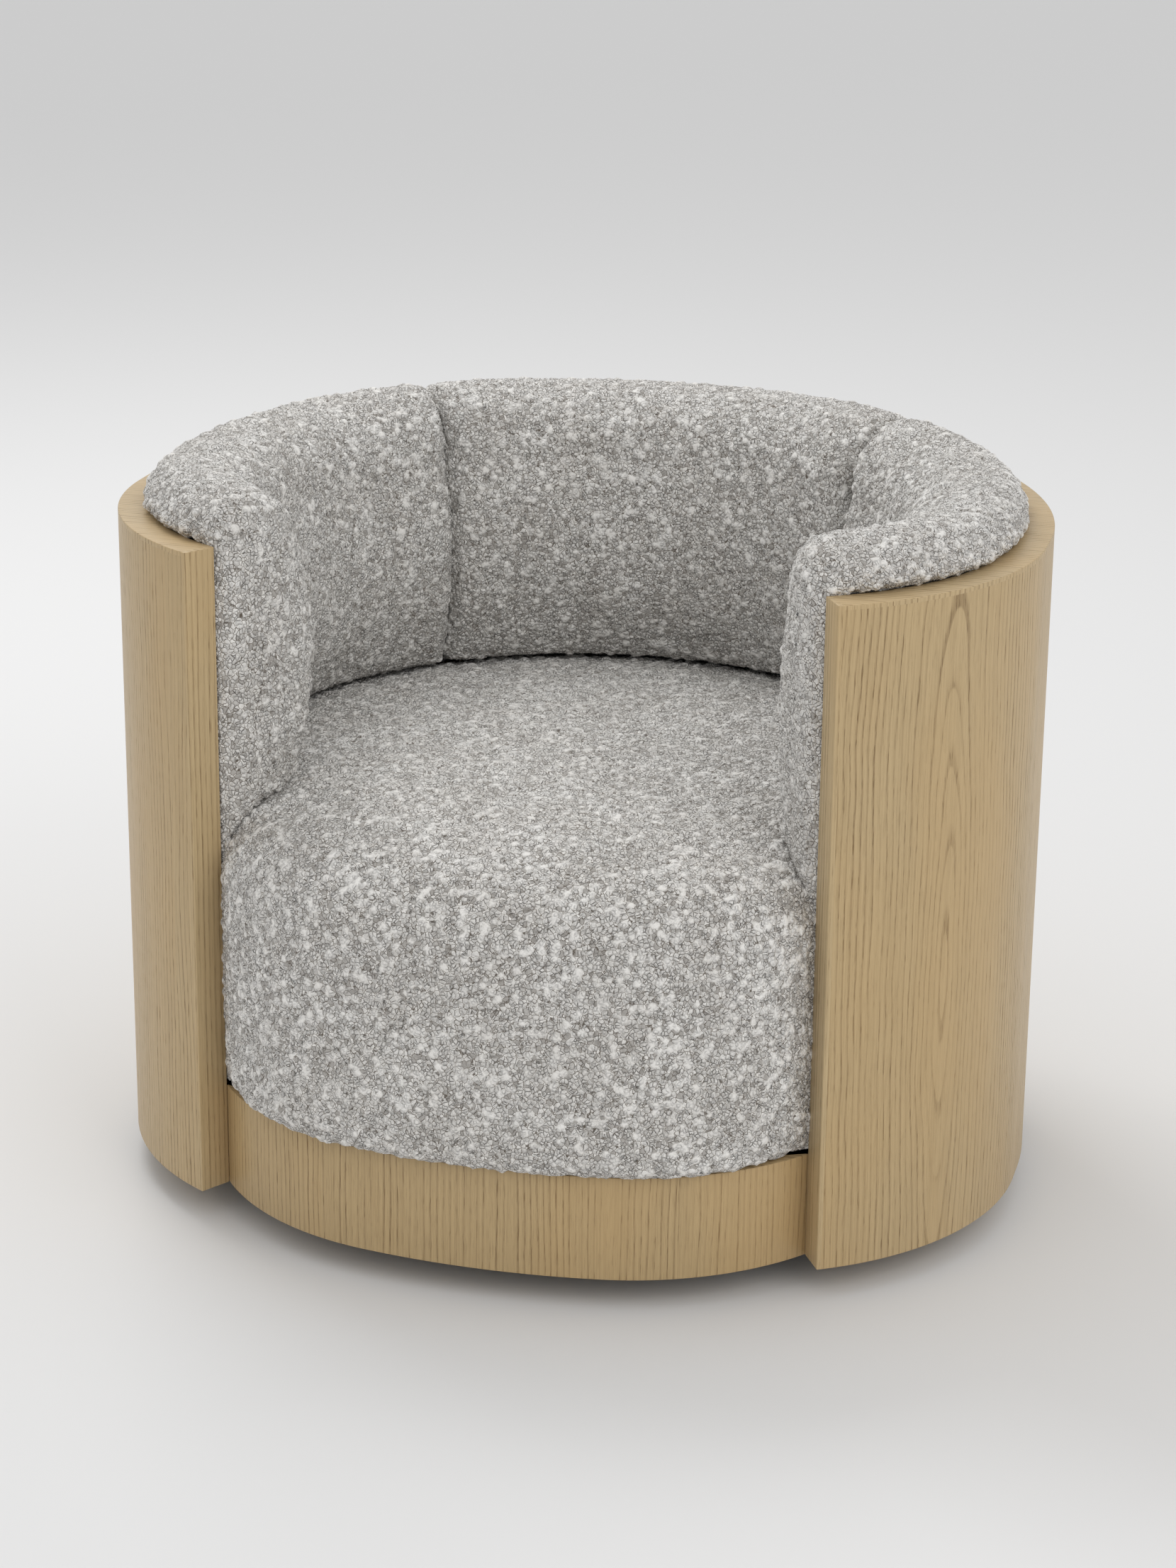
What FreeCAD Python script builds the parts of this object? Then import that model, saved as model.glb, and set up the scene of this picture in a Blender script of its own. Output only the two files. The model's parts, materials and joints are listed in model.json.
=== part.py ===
"""Tub chair on a hidden swivel base.

The frame: +Z up, floor at z = 0, the sitter faces -Y, the swivel axis is the Z axis. Millimetres and degrees.
A C of bent oak-veneered wall stands round one deep upholstered seat and three back pads. The wall's plan is
a half circle at the back, a short straight run on each side and a tighter arc at each front end.
Left and right in the names are as seen from the front, so left is -X and the sitter's right hand.
"""
import FreeCAD, Part
import Sketcher
import math
import os
import re

# Driving dimensions: alias, value, meaning
SIZES = [
    ("outer_radius", 400.0, "radius of the wall's outer face round the back"),
    ("side_run", 24.0, "straight length of each side, between the back and front arcs"),
    ("front_radius", 260.0, "radius of the wall's outer face at each front end"),
    ("front_sweep", 59.0, "angle that each front arc turns through"),
    ("wall", 30.0, "thickness of the wall"),
    ("wall_height", 570.0, "height of the wall with its rim lipping"),
    ("rim_lip", 4.0, "thickness of the solid oak rim lipping"),
    ("end_lip", 4.0, "thickness of the solid oak lipping on each front end"),
    ("float_gap", 28.0, "clear height under the wall"),
    ("plinth_reach", 325.0, "front of the plinth, ahead of the back arc's centre"),
    ("plinth_height", 92.0, "height of the front plinth"),
    ("plinth_thick", 18.0, "thickness of the front plinth"),
    ("bow_radius", 620.0, "radius of the plinth's shallow front bow"),
    ("corner_radius", 238.0, "radius of the plinth's tighter bends beside the wall ends"),
    ("seat_overhang", 15.0, "how far the seat's front stands ahead of the plinth"),
    ("seat_corner_radius", 190.0, "radius of the seat's upright corners beside the wall ends"),
    ("seat_height", 378.0, "top of the seat's crown above the floor"),
    ("seat_edge_drop", 78.0, "height that the seat's rounded top edge takes"),
    ("seat_skin", 35.0, "thickness of the seat's padding over its frame"),
    ("seat_crown_inset", 112.0, "distance from the seat's outline to the end of its rounded top edge"),
    ("seat_dome", 8.0, "rise of the seat's dome inside its rounded edge"),
    ("seat_foot_round", 24.0, "height that the seat's rounded lower edge takes"),
    ("seat_foot_inset", 13.0, "how far the seat's lower edge draws in"),
    ("seat_top_skin", 40.0, "thickness of the seat's padding over its foam block"),
    ("pad_back_gap", 14.0, "space between the wall and a pad's back, for clips and board"),
    ("pad_full", 108.0, "distance from the wall to a pad's fullest point"),
    ("pad_foot", 80.0, "distance from the wall to a pad's inner face at the seat"),
    ("pad_rise", 39.0, "height of a pad's crest above the rim"),
    ("pad_overhang", 9.0, "how far a pad's shoulder reaches out over the rim"),
    ("rim_shadow", 3.0, "gap between a pad's shoulder and the rim"),
    ("shoulder_rise", 6.0, "height from a pad's underside over the rim to its shoulder's edge"),
    ("pad_bottom", 300.0, "lowest level of the pads, before the seat shapes them"),
    ("seam_angle", 41.0, "angle of each seam between pads, from straight back"),
    ("seam_gap", 1.2, "gap between neighbouring pads"),
    ("nose_round", 58.0, "how far a side pad's front end draws in"),
    ("seam_round", 20.0, "how far a pad draws in at its seams"),
    ("nose_reach", 5.0, "how far a side pad's nose stands ahead of the wall's end"),
    ("soft_gap", 0.8, "clearance between the seat, the pads and the wall"),
    ("board_thick", 8.0, "thickness of the curved backing boards"),
    ("board_bottom", 392.0, "lower edge of the backing boards above the floor"),
    ("board_rim_gap", 24.0, "distance from the boards' upper edge to the rim"),
    ("board_margin", 1.5, "angle between a backing board's end and its pad's seam"),
    ("board_end_angle", 11.0, "angle between a side board's end and the wall's end"),
    ("clip_sweep", 5.0, "angle that a pad clip takes round the wall"),
    ("clip_height", 44.0, "height of a pad clip"),
    ("clip_edge", 26.0, "distance from a clip to the board's upper or lower edge"),
    ("fit_gap", 0.3, "clearance between assembled parts"),
    ("base_board_thick", 18.0, "thickness of the base board"),
    ("disc_radius", 230.0, "radius of the steel floor disc"),
    ("disc_thick", 8.0, "thickness of the steel floor disc"),
    ("disc_chamfer", 2.0, "chamfer round the floor disc"),
    ("tap_skin", 1.0, "metal left under the disc's tapped holes"),
    ("screw_tip_gap", 1.0, "clearance at the tip of a screw"),
    ("glide_height", 4.0, "height of each floor glide"),
    ("glide_radius", 15.0, "radius of each floor glide"),
    ("glide_circle", 205.0, "radius of the circle of glides"),
    ("ball_diameter", 8.0, "diameter of the bearing balls"),
    ("ball_circle", 130.0, "radius of the circle of balls"),
    ("race_thick", 7.0, "thickness of each bearing race"),
    ("race_outer", 142.0, "outer radius of the races"),
    ("race_inner", 104.0, "inner radius of the races"),
    ("groove_depth", 2.5, "depth of the ball groove in each race"),
    ("cage_thick", 1.8, "thickness of the ball cage"),
    ("cage_half_width", 9.0, "half the width of the ball cage"),
    ("race_screw_circle", 112.0, "radius of the circle of race screws"),
    ("race_screw_radius", 2.5, "shank radius of the race screws"),
    ("race_head_radius", 4.6, "head radius of the race screws"),
    ("race_head_height", 2.8, "head height of the race screws"),
    ("plate_thick", 4.0, "thickness of the swivel plate"),
    ("plate_radius", 165.0, "radius of the swivel plate"),
    ("plate_bolt_circle", 152.0, "radius of the circle of plate bolts"),
    ("plate_bolt_radius", 3.0, "shank radius of the plate bolts"),
    ("plate_head_radius", 5.5, "head radius of the plate bolts"),
    ("plate_head_height", 3.3, "head height of the plate bolts"),
    ("tee_barrel", 4.2, "barrel radius of the tee nuts"),
    ("tee_flange", 9.5, "flange radius of the tee nuts"),
    ("tee_flange_thick", 1.5, "flange thickness of the tee nuts"),
    ("tee_recess", 2.0, "distance from the board's lower face to the tee nuts' barrels"),
    ("pin_radius", 10.0, "radius of the king pin"),
    ("pin_running_gap", 0.05, "radial clearance of the king pin in its bush"),
    ("pin_head_radius", 17.0, "radius of the king pin's head"),
    ("pin_head_height", 3.2, "height of the king pin's head, let into the disc"),
    ("pin_end", 2.0, "how far the king pin stands above its nut"),
    ("bush_wall", 3.0, "wall thickness of the flanged bush"),
    ("bush_flange", 18.0, "flange radius of the bush"),
    ("bush_flange_thick", 2.0, "flange thickness of the bush"),
    ("washer_radius", 17.0, "radius of the thrust washer"),
    ("washer_thick", 2.0, "thickness of the thrust washer"),
    ("nut_corner", 14.85, "distance from the lock nut's centre to its corners"),
    ("nut_height", 9.0, "height of the lock nut"),
    ("board_bore", 30.0, "radius of the base board's centre hole"),
    ("cover_thick", 1.0, "thickness of the dust cover"),
    ("cover_inset", 12.0, "distance from the base board's edge to the dust cover's"),
    ("rail_thick", 18.0, "thickness of the seat frame's boards"),
    ("rail_top", 258.0, "top of the seat frame above the floor"),
    ("rail_half_span", 205.0, "half the width over the seat frame's side rails"),
    ("rail_back", 170.0, "back of the seat frame, behind the swivel axis"),
    ("block_size", 34.0, "side of the corner blocks"),
    ("block_back", 174.0, "back of the front corner blocks, ahead of the back arc's centre"),
    ("strap_pitch", 79.5, "distance between the lengthways straps"),
    ("cross_strap_front", 196.5, "front of the first crossways strap, ahead of the back arc's centre"),
    ("webbing_width", 60.0, "width of each webbing strap"),
    ("webbing_thick", 1.6, "thickness of each webbing strap"),
    ("foam_inset", 46.0, "distance from the seat's outline to the foam block"),
    ("bracket_leg", 36.0, "length of an angle bracket's legs"),
    ("bracket_width", 26.0, "width of an angle bracket"),
    ("bracket_thick", 3.0, "thickness of an angle bracket"),
    ("bracket_hole", 21.6, "distance from an angle bracket's corner to its screws"),
    ("bracket_screw", 2.2, "shank radius of the bracket screws"),
    ("bracket_head", 4.2, "head radius of the bracket screws"),
    ("bracket_head_height", 2.2, "head height of the bracket screws"),
    ("screw_bite", 12.0, "depth that a bracket screw goes into the wood"),
]

# Places worked out from the driving dimensions
PLACES = [
    ("back_y", "(plinth_reach + seat_overhang - outer_radius) / 2"),
    ("side_y", "back_y - side_run"),
    ("front_x", "outer_radius - front_radius"),
    ("wall_top", "float_gap + wall_height"),
    ("inner_radius", "outer_radius - wall"),
    ("inner_front", "front_radius - wall"),
    ("plinth_top", "float_gap + plinth_height"),
    ("plinth_y", "back_y - plinth_reach"),
    ("disc_top", "glide_height + disc_thick"),
    ("lower_race_top", "disc_top + race_thick"),
    ("ball_z", "lower_race_top + ball_diameter / 2 - groove_depth"),
    ("upper_race_bottom", "2 * ball_z - lower_race_top"),
    ("upper_race_top", "upper_race_bottom + race_thick"),
    ("plate_top", "upper_race_top + plate_thick"),
    ("board_top", "plate_top + base_board_thick"),
    ("rail_inset", "seat_skin + fit_gap"),
    ("webbing_top", "rail_top + 2 * webbing_thick + 2 * fit_gap"),
    ("foam_top", "seat_height - seat_top_skin - fit_gap"),
    ("pad_board_top", "wall_top - board_rim_gap"),
    ("pad_board_inset", "pad_back_gap - board_thick - fit_gap"),
    ("pin_top", "plate_top + bush_flange_thick + washer_thick + 2 * fit_gap + nut_height + pin_end"),
]

doc = FreeCAD.newDocument("tub_chair")
WORDS = re.compile(r"\b(" + "|".join(sorted([s[0] for s in SIZES + PLACES], key=len, reverse=True)) + r")\b")
PLACE_NAMES = {name for name, _ in PLACES}


def bound(text):
    """An expression on the sheet's cells and the worked-out places."""
    return WORDS.sub(lambda m: ("places." if m.group(1) in PLACE_NAMES else "dims.") + m.group(1), text)


def make_sheet():
    sheet = doc.addObject("Spreadsheet::Sheet", "dims")
    for row, (alias, value, meaning) in enumerate(SIZES, start=1):
        sheet.set(f"A{row}", meaning)
        sheet.set(f"B{row}", str(value))
        sheet.setAlias(f"B{row}", alias)
    doc.recompute()
    places = doc.addObject("App::VarSet", "places")
    for name, text in PLACES:
        places.addProperty("App::PropertyFloat", name)
        places.setExpression(name, bound(text))
    doc.recompute()
    return sheet, places


dims, places = make_sheet()


class Numbers:
    """The same names as numbers, for the shapes that are set in code."""

    def __getattr__(self, name):
        return float(getattr(places, name) if name in PLACE_NAMES else dims.get(name))


n = Numbers()


def place(obj, x="0", y="0", z="0", turn=None):
    for axis, text in (("x", x), ("y", y), ("z", z)):
        if text != "0":
            obj.setExpression(f"Placement.Base.{axis}", bound(text))
    if turn is not None:
        obj.setExpression("Placement.Rotation.Angle", bound(turn))
    return obj


def cylinder(name, radius, height, x="0", y="0", z="0", sweep=None, turn=None):
    obj = doc.addObject("Part::Cylinder", name)
    obj.setExpression("Radius", bound(radius))
    obj.setExpression("Height", bound(height))
    if sweep is not None:
        obj.setExpression("Angle", bound(sweep))
    return place(obj, x, y, z, turn)


def box(name, length, width, height, x="0", y="0", z="0", turn=None):
    obj = doc.addObject("Part::Box", name)
    for side, text in (("Length", length), ("Width", width), ("Height", height)):
        obj.setExpression(side, bound(text))
    return place(obj, x, y, z, turn)


def cut(name, base, tool):
    obj = doc.addObject("Part::Cut", name)
    obj.Base, obj.Tool = base, tool
    return obj


def common(name, shapes):
    obj = doc.addObject("Part::MultiCommon", name)
    obj.Shapes = shapes
    return obj


def fuse(name, shapes):
    obj = doc.addObject("Part::MultiFuse", name)
    obj.Shapes = shapes
    obj.Refine = True
    return obj


def group(name, shapes):
    obj = doc.addObject("Part::Compound", name)
    obj.Links = shapes
    return obj


NODES = []


def node(obj, label):
    """Marks an object as a sub-part, under the name of its file."""
    obj.Label = label
    NODES.append(obj)
    return obj


def ring(name, outer, inner, z, height, x="0", y="0", sweep=None, turn=None):
    outside = cylinder(name + "_outside", outer, height, x, y, z, sweep, turn)
    inside = cylinder(name + "_inside", inner, height, x, y, z)
    return cut(name, outside, inside)


SIDES = (("left", -1), ("right", 1))


def side_text(sign, text):
    return text if sign > 0 else f"-({text})"


def front_arc(name, sign, outer, inner, z, height, start, sweep):
    """A stretch of wall on one front arc. start and sweep are measured from the side towards the front."""
    turn = f"-({start} + {sweep})" if sign > 0 else f"180 + {start}"
    return ring(name, f"front_radius - ({outer})", f"front_radius - ({inner})", z, height,
                side_text(sign, "front_x"), "side_y", sweep, turn)


def side_box(name, sign, outer, inner, z, height):
    start = f"outer_radius - ({inner})" if sign > 0 else f"-outer_radius + ({outer})"
    return box(name, f"({inner}) - ({outer})", "side_run", height, start, "side_y", z)


def back_arc(name, outer, inner, z, height, start, sweep):
    """A stretch of wall on the back arc. start is measured anticlockwise from +X."""
    return ring(name, f"outer_radius - ({outer})", f"outer_radius - ({inner})", z, height,
                "0", "back_y", sweep, start)


def wall_band(name, outer, inner, z, height):
    """The whole C of wall, between two distances inside its outer face."""
    pieces = [back_arc(name + "_back", outer, inner, z, height, "0", "180")]
    for side, sign in SIDES:
        pieces.append(side_box(f"{name}_{side}_side", sign, outer, inner, z, height))
        pieces.append(front_arc(f"{name}_{side}_front", sign, outer, inner, z, height, "0", "front_sweep"))
    return fuse(name, pieces)


def polar_point(radius, angle, centre=(0.0, 0.0)):
    turn = math.radians(angle)
    return (centre[0] + radius * math.cos(turn), centre[1] + radius * math.sin(turn))


def on_circle(radius, angle):
    return (f"({radius}) * cos({angle})", f"({radius}) * sin({angle})")


# The plan outline, from the same values as the wall and the plinth, for the shapes set in code

def circle_crossing(c1, r1, c2, r2, forward):
    """The crossing of two circles that lies furthest along the direction forward."""
    dx, dy = c2[0] - c1[0], c2[1] - c1[1]
    gap = math.hypot(dx, dy)
    along = (r1 * r1 - r2 * r2 + gap * gap) / (2 * gap)
    aside = math.sqrt(max(r1 * r1 - along * along, 0.0))
    foot = (c1[0] + along * dx / gap, c1[1] + along * dy / gap)
    found = [(foot[0] + s * aside * dy / gap, foot[1] - s * aside * dx / gap) for s in (1, -1)]
    return max(found, key=lambda p: p[0] * forward[0] + p[1] * forward[1])


class Bow:
    """The curve across the chair's front: a shallow arc with a tighter bend at each end.

    Each bend touches the shallow arc inside and starts at the wall end's inner corner."""

    def __init__(self, front_y, bend_radius):
        corner = polar_point(n.inner_front, -n.front_sweep, (n.front_x, n.side_y))
        start = polar_point(n.end_lip, -90 - n.front_sweep, corner)
        self.bow_radius, self.bend_radius = n.bow_radius, bend_radius
        self.bow_centre = (0.0, front_y + n.bow_radius)
        across, down = start[0], self.bow_centre[1] - start[1]
        reach = math.hypot(across, down)
        arm = n.bow_radius - bend_radius
        share = (arm * arm + reach * reach - bend_radius ** 2) / (2 * arm * reach)
        half = math.atan2(across, down) - math.acos(share)
        self.bend_centre = (arm * math.sin(half), self.bow_centre[1] - arm * math.cos(half))
        self.half = math.degrees(half)


PLINTH_BOW = Bow(n.plinth_y, n.corner_radius)
SEAT_BOW = Bow(n.plinth_y - n.seat_overhang, n.seat_corner_radius)


def angle_at(centre, point):
    return math.degrees(math.atan2(point[1] - centre[1], point[0] - centre[0]))


def arc_edge(centre, radius, start, end, z, mirror=False):
    """An arc from angle start to angle end, the mirrored one on the -X side."""
    points = [polar_point(radius, start + (end - start) * share, centre) for share in (0.0, 0.5, 1.0)]
    if mirror:
        points = [(-x, y) for x, y in reversed(points)]
    return Part.Arc(*[FreeCAD.Vector(x, y, z) for x, y in points]).toShape()


def outline(z, bow, wall_inset, bow_inset):
    """The closed plan line at a level, at distances inside the wall's inner face and inside a bow."""
    back, front = n.inner_radius - wall_inset, n.inner_front - wall_inset
    bend, shallow = bow.bend_radius - bow_inset, bow.bow_radius - bow_inset
    wall_centre, bend_centre = (n.front_x, n.side_y), bow.bend_centre
    meet = circle_crossing(wall_centre, front, bend_centre, bend, (0.0, -1.0))
    wall_end = angle_at(wall_centre, meet)
    bend_start, bend_end = angle_at(bend_centre, meet), bow.half - 90

    def side(x, y0, y1):
        return Part.LineSegment(FreeCAD.Vector(x, y0, z), FreeCAD.Vector(x, y1, z)).toShape()

    return Part.Wire([
        side(back, n.back_y, n.side_y),
        arc_edge(wall_centre, front, 0.0, wall_end, z),
        arc_edge(bend_centre, bend, bend_start, bend_end, z),
        arc_edge(bow.bow_centre, shallow, bend_end, -180 - bend_end, z),
        arc_edge(bend_centre, bend, bend_start, bend_end, z, mirror=True),
        arc_edge(wall_centre, front, 0.0, wall_end, z, mirror=True),
        side(-back, n.side_y, n.back_y),
        arc_edge((0.0, n.back_y), back, 180.0, 90.0, z),
        arc_edge((0.0, n.back_y), back, 90.0, 0.0, z),
    ])


def feature(name, shape):
    obj = doc.addObject("Part::Feature", name)
    obj.Shape = shape
    return obj


def slab(bow, z0, z1, wall_inset, bow_inset=None):
    """A flat-sided block of the plan outline between two levels."""
    wire = outline(z0, bow, wall_inset, wall_inset if bow_inset is None else bow_inset)
    return Part.Face(wire).extrude(FreeCAD.Vector(0, 0, z1 - z0))


# Wooden body

def make_wall(pilots):
    wall_c = wall_band("wall_c", "0", "wall", "float_gap", "wall_height - rim_lip")
    node(cut("wall_drilled", wall_c, group("wall_pilots", pilots)), "outer_shell")
    rim_z = "float_gap + wall_height - rim_lip"
    node(wall_band("rim_c", "0", "wall", rim_z, "rim_lip"), "rim_lipping")
    for side, sign in SIDES:
        x = side_text(sign, "front_x + inner_front * cos(front_sweep)")
        y = "side_y - inner_front * sin(front_sweep)"
        if sign > 0:
            x, y = f"{x} - end_lip * sin(front_sweep)", f"{y} - end_lip * cos(front_sweep)"
            turn = "-front_sweep"
        else:
            turn = "180 + front_sweep"
        block = box(f"{side}_end_block", "wall", "end_lip", "wall_height", x, y, "float_gap", turn)
        node(block, f"{side}_end_lipping")


def make_plinth():
    """The bowed band between the wall ends, cut to the wall's inner face."""
    outside = slab(PLINTH_BOW, n.float_gap, n.plinth_top, n.fit_gap, 0.0)
    inside = slab(PLINTH_BOW, n.float_gap, n.plinth_top, n.fit_gap, n.plinth_thick)
    node(feature("plinth_band", outside.cut(inside)), "front_plinth")


def screws(name, count, circle, start, head_radius, head_height, head_z, shank_radius, shank_z, shank_length):
    """A ring of screws as separate solids, each a head fused to its shank."""
    made = []
    for i in range(count):
        angle = start + i * 360.0 / count
        x, y = on_circle(circle, angle)
        head = cylinder(f"{name}_head_{i + 1}", head_radius, head_height, x, y, head_z)
        shank = cylinder(f"{name}_shank_{i + 1}", shank_radius, shank_length, x, y, shank_z)
        made.append(fuse(f"{name}_{i + 1}", [head, shank]))
    return group(name, made)


def holes(name, count, circle, start, radius, z, height):
    made = []
    for i in range(count):
        x, y = on_circle(circle, start + i * 360.0 / count)
        made.append(cylinder(f"{name}_{i + 1}", radius, height, x, y, z))
    return group(name, made)


def turned(name, profile):
    """A turned piece: a sketch of (radius, height) corners on the XZ plane, revolved about Z."""
    body = doc.addObject("PartDesign::Body", name)
    sketch = body.newObject("Sketcher::SketchObject", name + "_profile")
    plane = [f for f in body.Origin.OriginFeatures if f.Role == "XZ_Plane"][0]
    sketch.AttachmentSupport = [(plane, "")]
    sketch.MapMode = "FlatFace"
    corners = len(profile)
    rough = [polar_point(100.0, 360.0 * i / corners, (150.0, 150.0)) for i in range(corners)]
    for i in range(corners):
        ends = [FreeCAD.Vector(*rough[j % corners], 0) for j in (i, i + 1)]
        sketch.addGeometry(Part.LineSegment(*ends), False)
    for i in range(corners):
        sketch.addConstraint(Sketcher.Constraint("Coincident", i, 2, (i + 1) % corners, 1))
    for i, (radius, height) in enumerate(profile):
        for kind, text, start in (("DistanceX", radius, rough[i][0]), ("DistanceY", height, rough[i][1])):
            at = sketch.addConstraint(Sketcher.Constraint(kind, -1, 1, i, 1, start))
            sketch.setExpression(f"Constraints[{at}]", bound(text))
    turn = body.newObject("PartDesign::Revolution", name + "_turn")
    turn.Profile = sketch
    turn.ReferenceAxis = (sketch, ["V_Axis"])
    turn.Angle = 360.0
    return body


# Swivel

BALLS = 24
RACE_SCREWS = 6
PLATE_BOLTS = 8
PLATE_BOLT_START = 180.0 / PLATE_BOLTS
GLIDES = 6
GLIDE_START = 180.0 / GLIDES


def make_floor_base():
    """The part that stands still: disc, glides, lower race, balls in their cage, and the king pin."""
    disc = turned("disc_turned", [
        ("pin_head_radius + fit_gap", "glide_height"),
        ("disc_radius", "glide_height"),
        ("disc_radius", "disc_top - disc_chamfer"),
        ("disc_radius - disc_chamfer", "disc_top"),
        ("pin_radius + pin_running_gap", "disc_top"),
        ("pin_radius + pin_running_gap", "glide_height + pin_head_height + fit_gap"),
        ("pin_head_radius + fit_gap", "glide_height + pin_head_height + fit_gap"),
    ])
    tapped = holes("disc_tapped", RACE_SCREWS, "race_screw_circle", 0.0,
                   "race_screw_radius + pin_running_gap", "glide_height + tap_skin", "disc_thick")
    node(cut("disc", disc, tapped), "floor_disc")
    glides = holes("glides", GLIDES, "glide_circle", GLIDE_START, "glide_radius", "0", "glide_height")
    node(glides, "floor_glides")
    make_race("lower_race", "disc_top", "lower_race_top - race_head_height - fit_gap", "pin_running_gap * 2")
    tip_z = "glide_height + tap_skin + screw_tip_gap"
    node(screws("lower_race_screw", RACE_SCREWS, "race_screw_circle", 0.0, "race_head_radius",
                "race_head_height", "lower_race_top - race_head_height", "race_screw_radius",
                tip_z, f"lower_race_top - race_head_height / 2 - ({tip_z})"), "lower_race_screws")
    balls, pockets = [], []
    for i in range(BALLS):
        x, y = on_circle("ball_circle", i * 360.0 / BALLS)
        ball = doc.addObject("Part::Sphere", f"ball_{i + 1}")
        ball.setExpression("Radius", bound("ball_diameter / 2"))
        balls.append(place(ball, x, y, "ball_z"))
        pockets.append(cylinder(f"pocket_{i + 1}", "ball_diameter / 2 + fit_gap", "cage_thick", x, y,
                                "ball_z - cage_thick / 2"))
    node(group("balls", balls), "bearing_balls")
    cage = ring("cage_ring", "ball_circle + cage_half_width", "ball_circle - cage_half_width",
                "ball_z - cage_thick / 2", "cage_thick")
    node(cut("cage", cage, group("pockets", pockets)), "ball_cage")
    pin = turned("pin_turned", [
        ("0", "glide_height + fit_gap"),
        ("pin_head_radius", "glide_height + fit_gap"),
        ("pin_head_radius", "glide_height + pin_head_height"),
        ("pin_radius", "glide_height + pin_head_height"),
        ("pin_radius", "pin_top"),
        ("0", "pin_top"),
    ])
    node(pin, "king_pin")
    washer_z = "plate_top + bush_flange_thick + fit_gap"
    washer = ring("washer", "washer_radius", "pin_radius + pin_running_gap", washer_z, "washer_thick")
    node(washer, "thrust_washer")
    nut_z = f"{washer_z} + washer_thick"
    hexagon = doc.addObject("Part::Prism", "nut_hexagon")
    hexagon.Polygon = 6
    hexagon.setExpression("Circumradius", bound("nut_corner"))
    hexagon.setExpression("Height", bound("nut_height"))
    place(hexagon, z=nut_z)
    bore = cylinder("nut_bore", "pin_radius + pin_running_gap", "nut_height", z=nut_z)
    node(cut("nut", hexagon, bore), "lock_nut")


def make_race(name, bottom, counterbore_z, groove_gap):
    """A bearing race with a round groove for the balls and counterbored screw holes."""
    rough = ring(name + "_ring", "race_outer", "race_inner", bottom, "race_thick")
    groove = doc.addObject("Part::Torus", name + "_groove")
    groove.setExpression("Radius1", bound("ball_circle"))
    groove.setExpression("Radius2", bound(f"ball_diameter / 2 + {groove_gap}"))
    place(groove, z="ball_z")
    shanks = holes(name + "_shank_holes", RACE_SCREWS, "race_screw_circle", 0.0,
                   "race_screw_radius + fit_gap", bottom, "race_thick")
    heads = holes(name + "_head_holes", RACE_SCREWS, "race_screw_circle", 0.0,
                  "race_head_radius + fit_gap", counterbore_z, "race_head_height + fit_gap")
    bored = cut(name + "_bored", rough, group(name + "_holes", [shanks, heads]))
    node(cut(name + "_grooved", bored, groove), name)


def make_swivel():
    """The steel that turns with the chair: upper race, plate, bush and the bolts into the base board."""
    make_race("upper_race", "upper_race_bottom", "upper_race_bottom", "fit_gap")
    node(screws("upper_race_screw", RACE_SCREWS, "race_screw_circle", 0.0, "race_head_radius",
                "race_head_height", "upper_race_bottom", "race_screw_radius",
                "upper_race_bottom + race_head_height / 2",
                "race_thick + plate_thick - race_head_height / 2 - screw_tip_gap"), "upper_race_screws")
    plate = turned("plate_turned", [
        ("pin_radius + pin_running_gap * 2 + bush_wall", "upper_race_top"),
        ("plate_radius", "upper_race_top"),
        ("plate_radius", "plate_top"),
        ("pin_radius + pin_running_gap * 2 + bush_wall", "plate_top"),
    ])
    race_holes = holes("plate_race_holes", RACE_SCREWS, "race_screw_circle", 0.0,
                       "race_screw_radius + pin_running_gap", "upper_race_top", "plate_thick")
    bolt_holes = holes("plate_bolt_holes", PLATE_BOLTS, "plate_bolt_circle", PLATE_BOLT_START,
                       "plate_bolt_radius + fit_gap", "upper_race_top", "plate_thick")
    node(cut("plate", plate, group("plate_holes", [race_holes, bolt_holes])), "swivel_plate")
    bush = turned("bush_turned", [
        ("pin_radius + pin_running_gap", "upper_race_bottom"),
        ("pin_radius + pin_running_gap + bush_wall", "upper_race_bottom"),
        ("pin_radius + pin_running_gap + bush_wall", "plate_top"),
        ("bush_flange", "plate_top"),
        ("bush_flange", "plate_top + bush_flange_thick"),
        ("pin_radius + pin_running_gap", "plate_top + bush_flange_thick"),
    ])
    node(bush, "hub_bush")
    shank_start = "upper_race_top - plate_head_height / 2"
    bolts = screws("plate_bolt", PLATE_BOLTS, "plate_bolt_circle", PLATE_BOLT_START, "plate_head_radius",
                   "plate_head_height", "upper_race_top - plate_head_height", "plate_bolt_radius",
                   shank_start, f"board_top + tee_flange_thick - screw_tip_gap - ({shank_start})")
    node(bolts, "plate_bolts")
    barrels = holes("tee_barrels", PLATE_BOLTS, "plate_bolt_circle", PLATE_BOLT_START, "tee_barrel",
                    "plate_top + tee_recess", "base_board_thick - tee_recess")
    flanges = holes("tee_flanges", PLATE_BOLTS, "plate_bolt_circle", PLATE_BOLT_START, "tee_flange",
                    "board_top", "tee_flange_thick")
    threads = holes("tee_threads", PLATE_BOLTS, "plate_bolt_circle", PLATE_BOLT_START,
                    "plate_bolt_radius + pin_running_gap", "plate_top",
                    "base_board_thick + 2 * tee_flange_thick")
    node(cut("tees", fuse("tee_solids", [barrels, flanges]), threads), "tee_nuts")


# Inner woodwork

BRACKET_ANGLES = (12.0, 50.0, 90.0, 130.0, 168.0)


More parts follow.
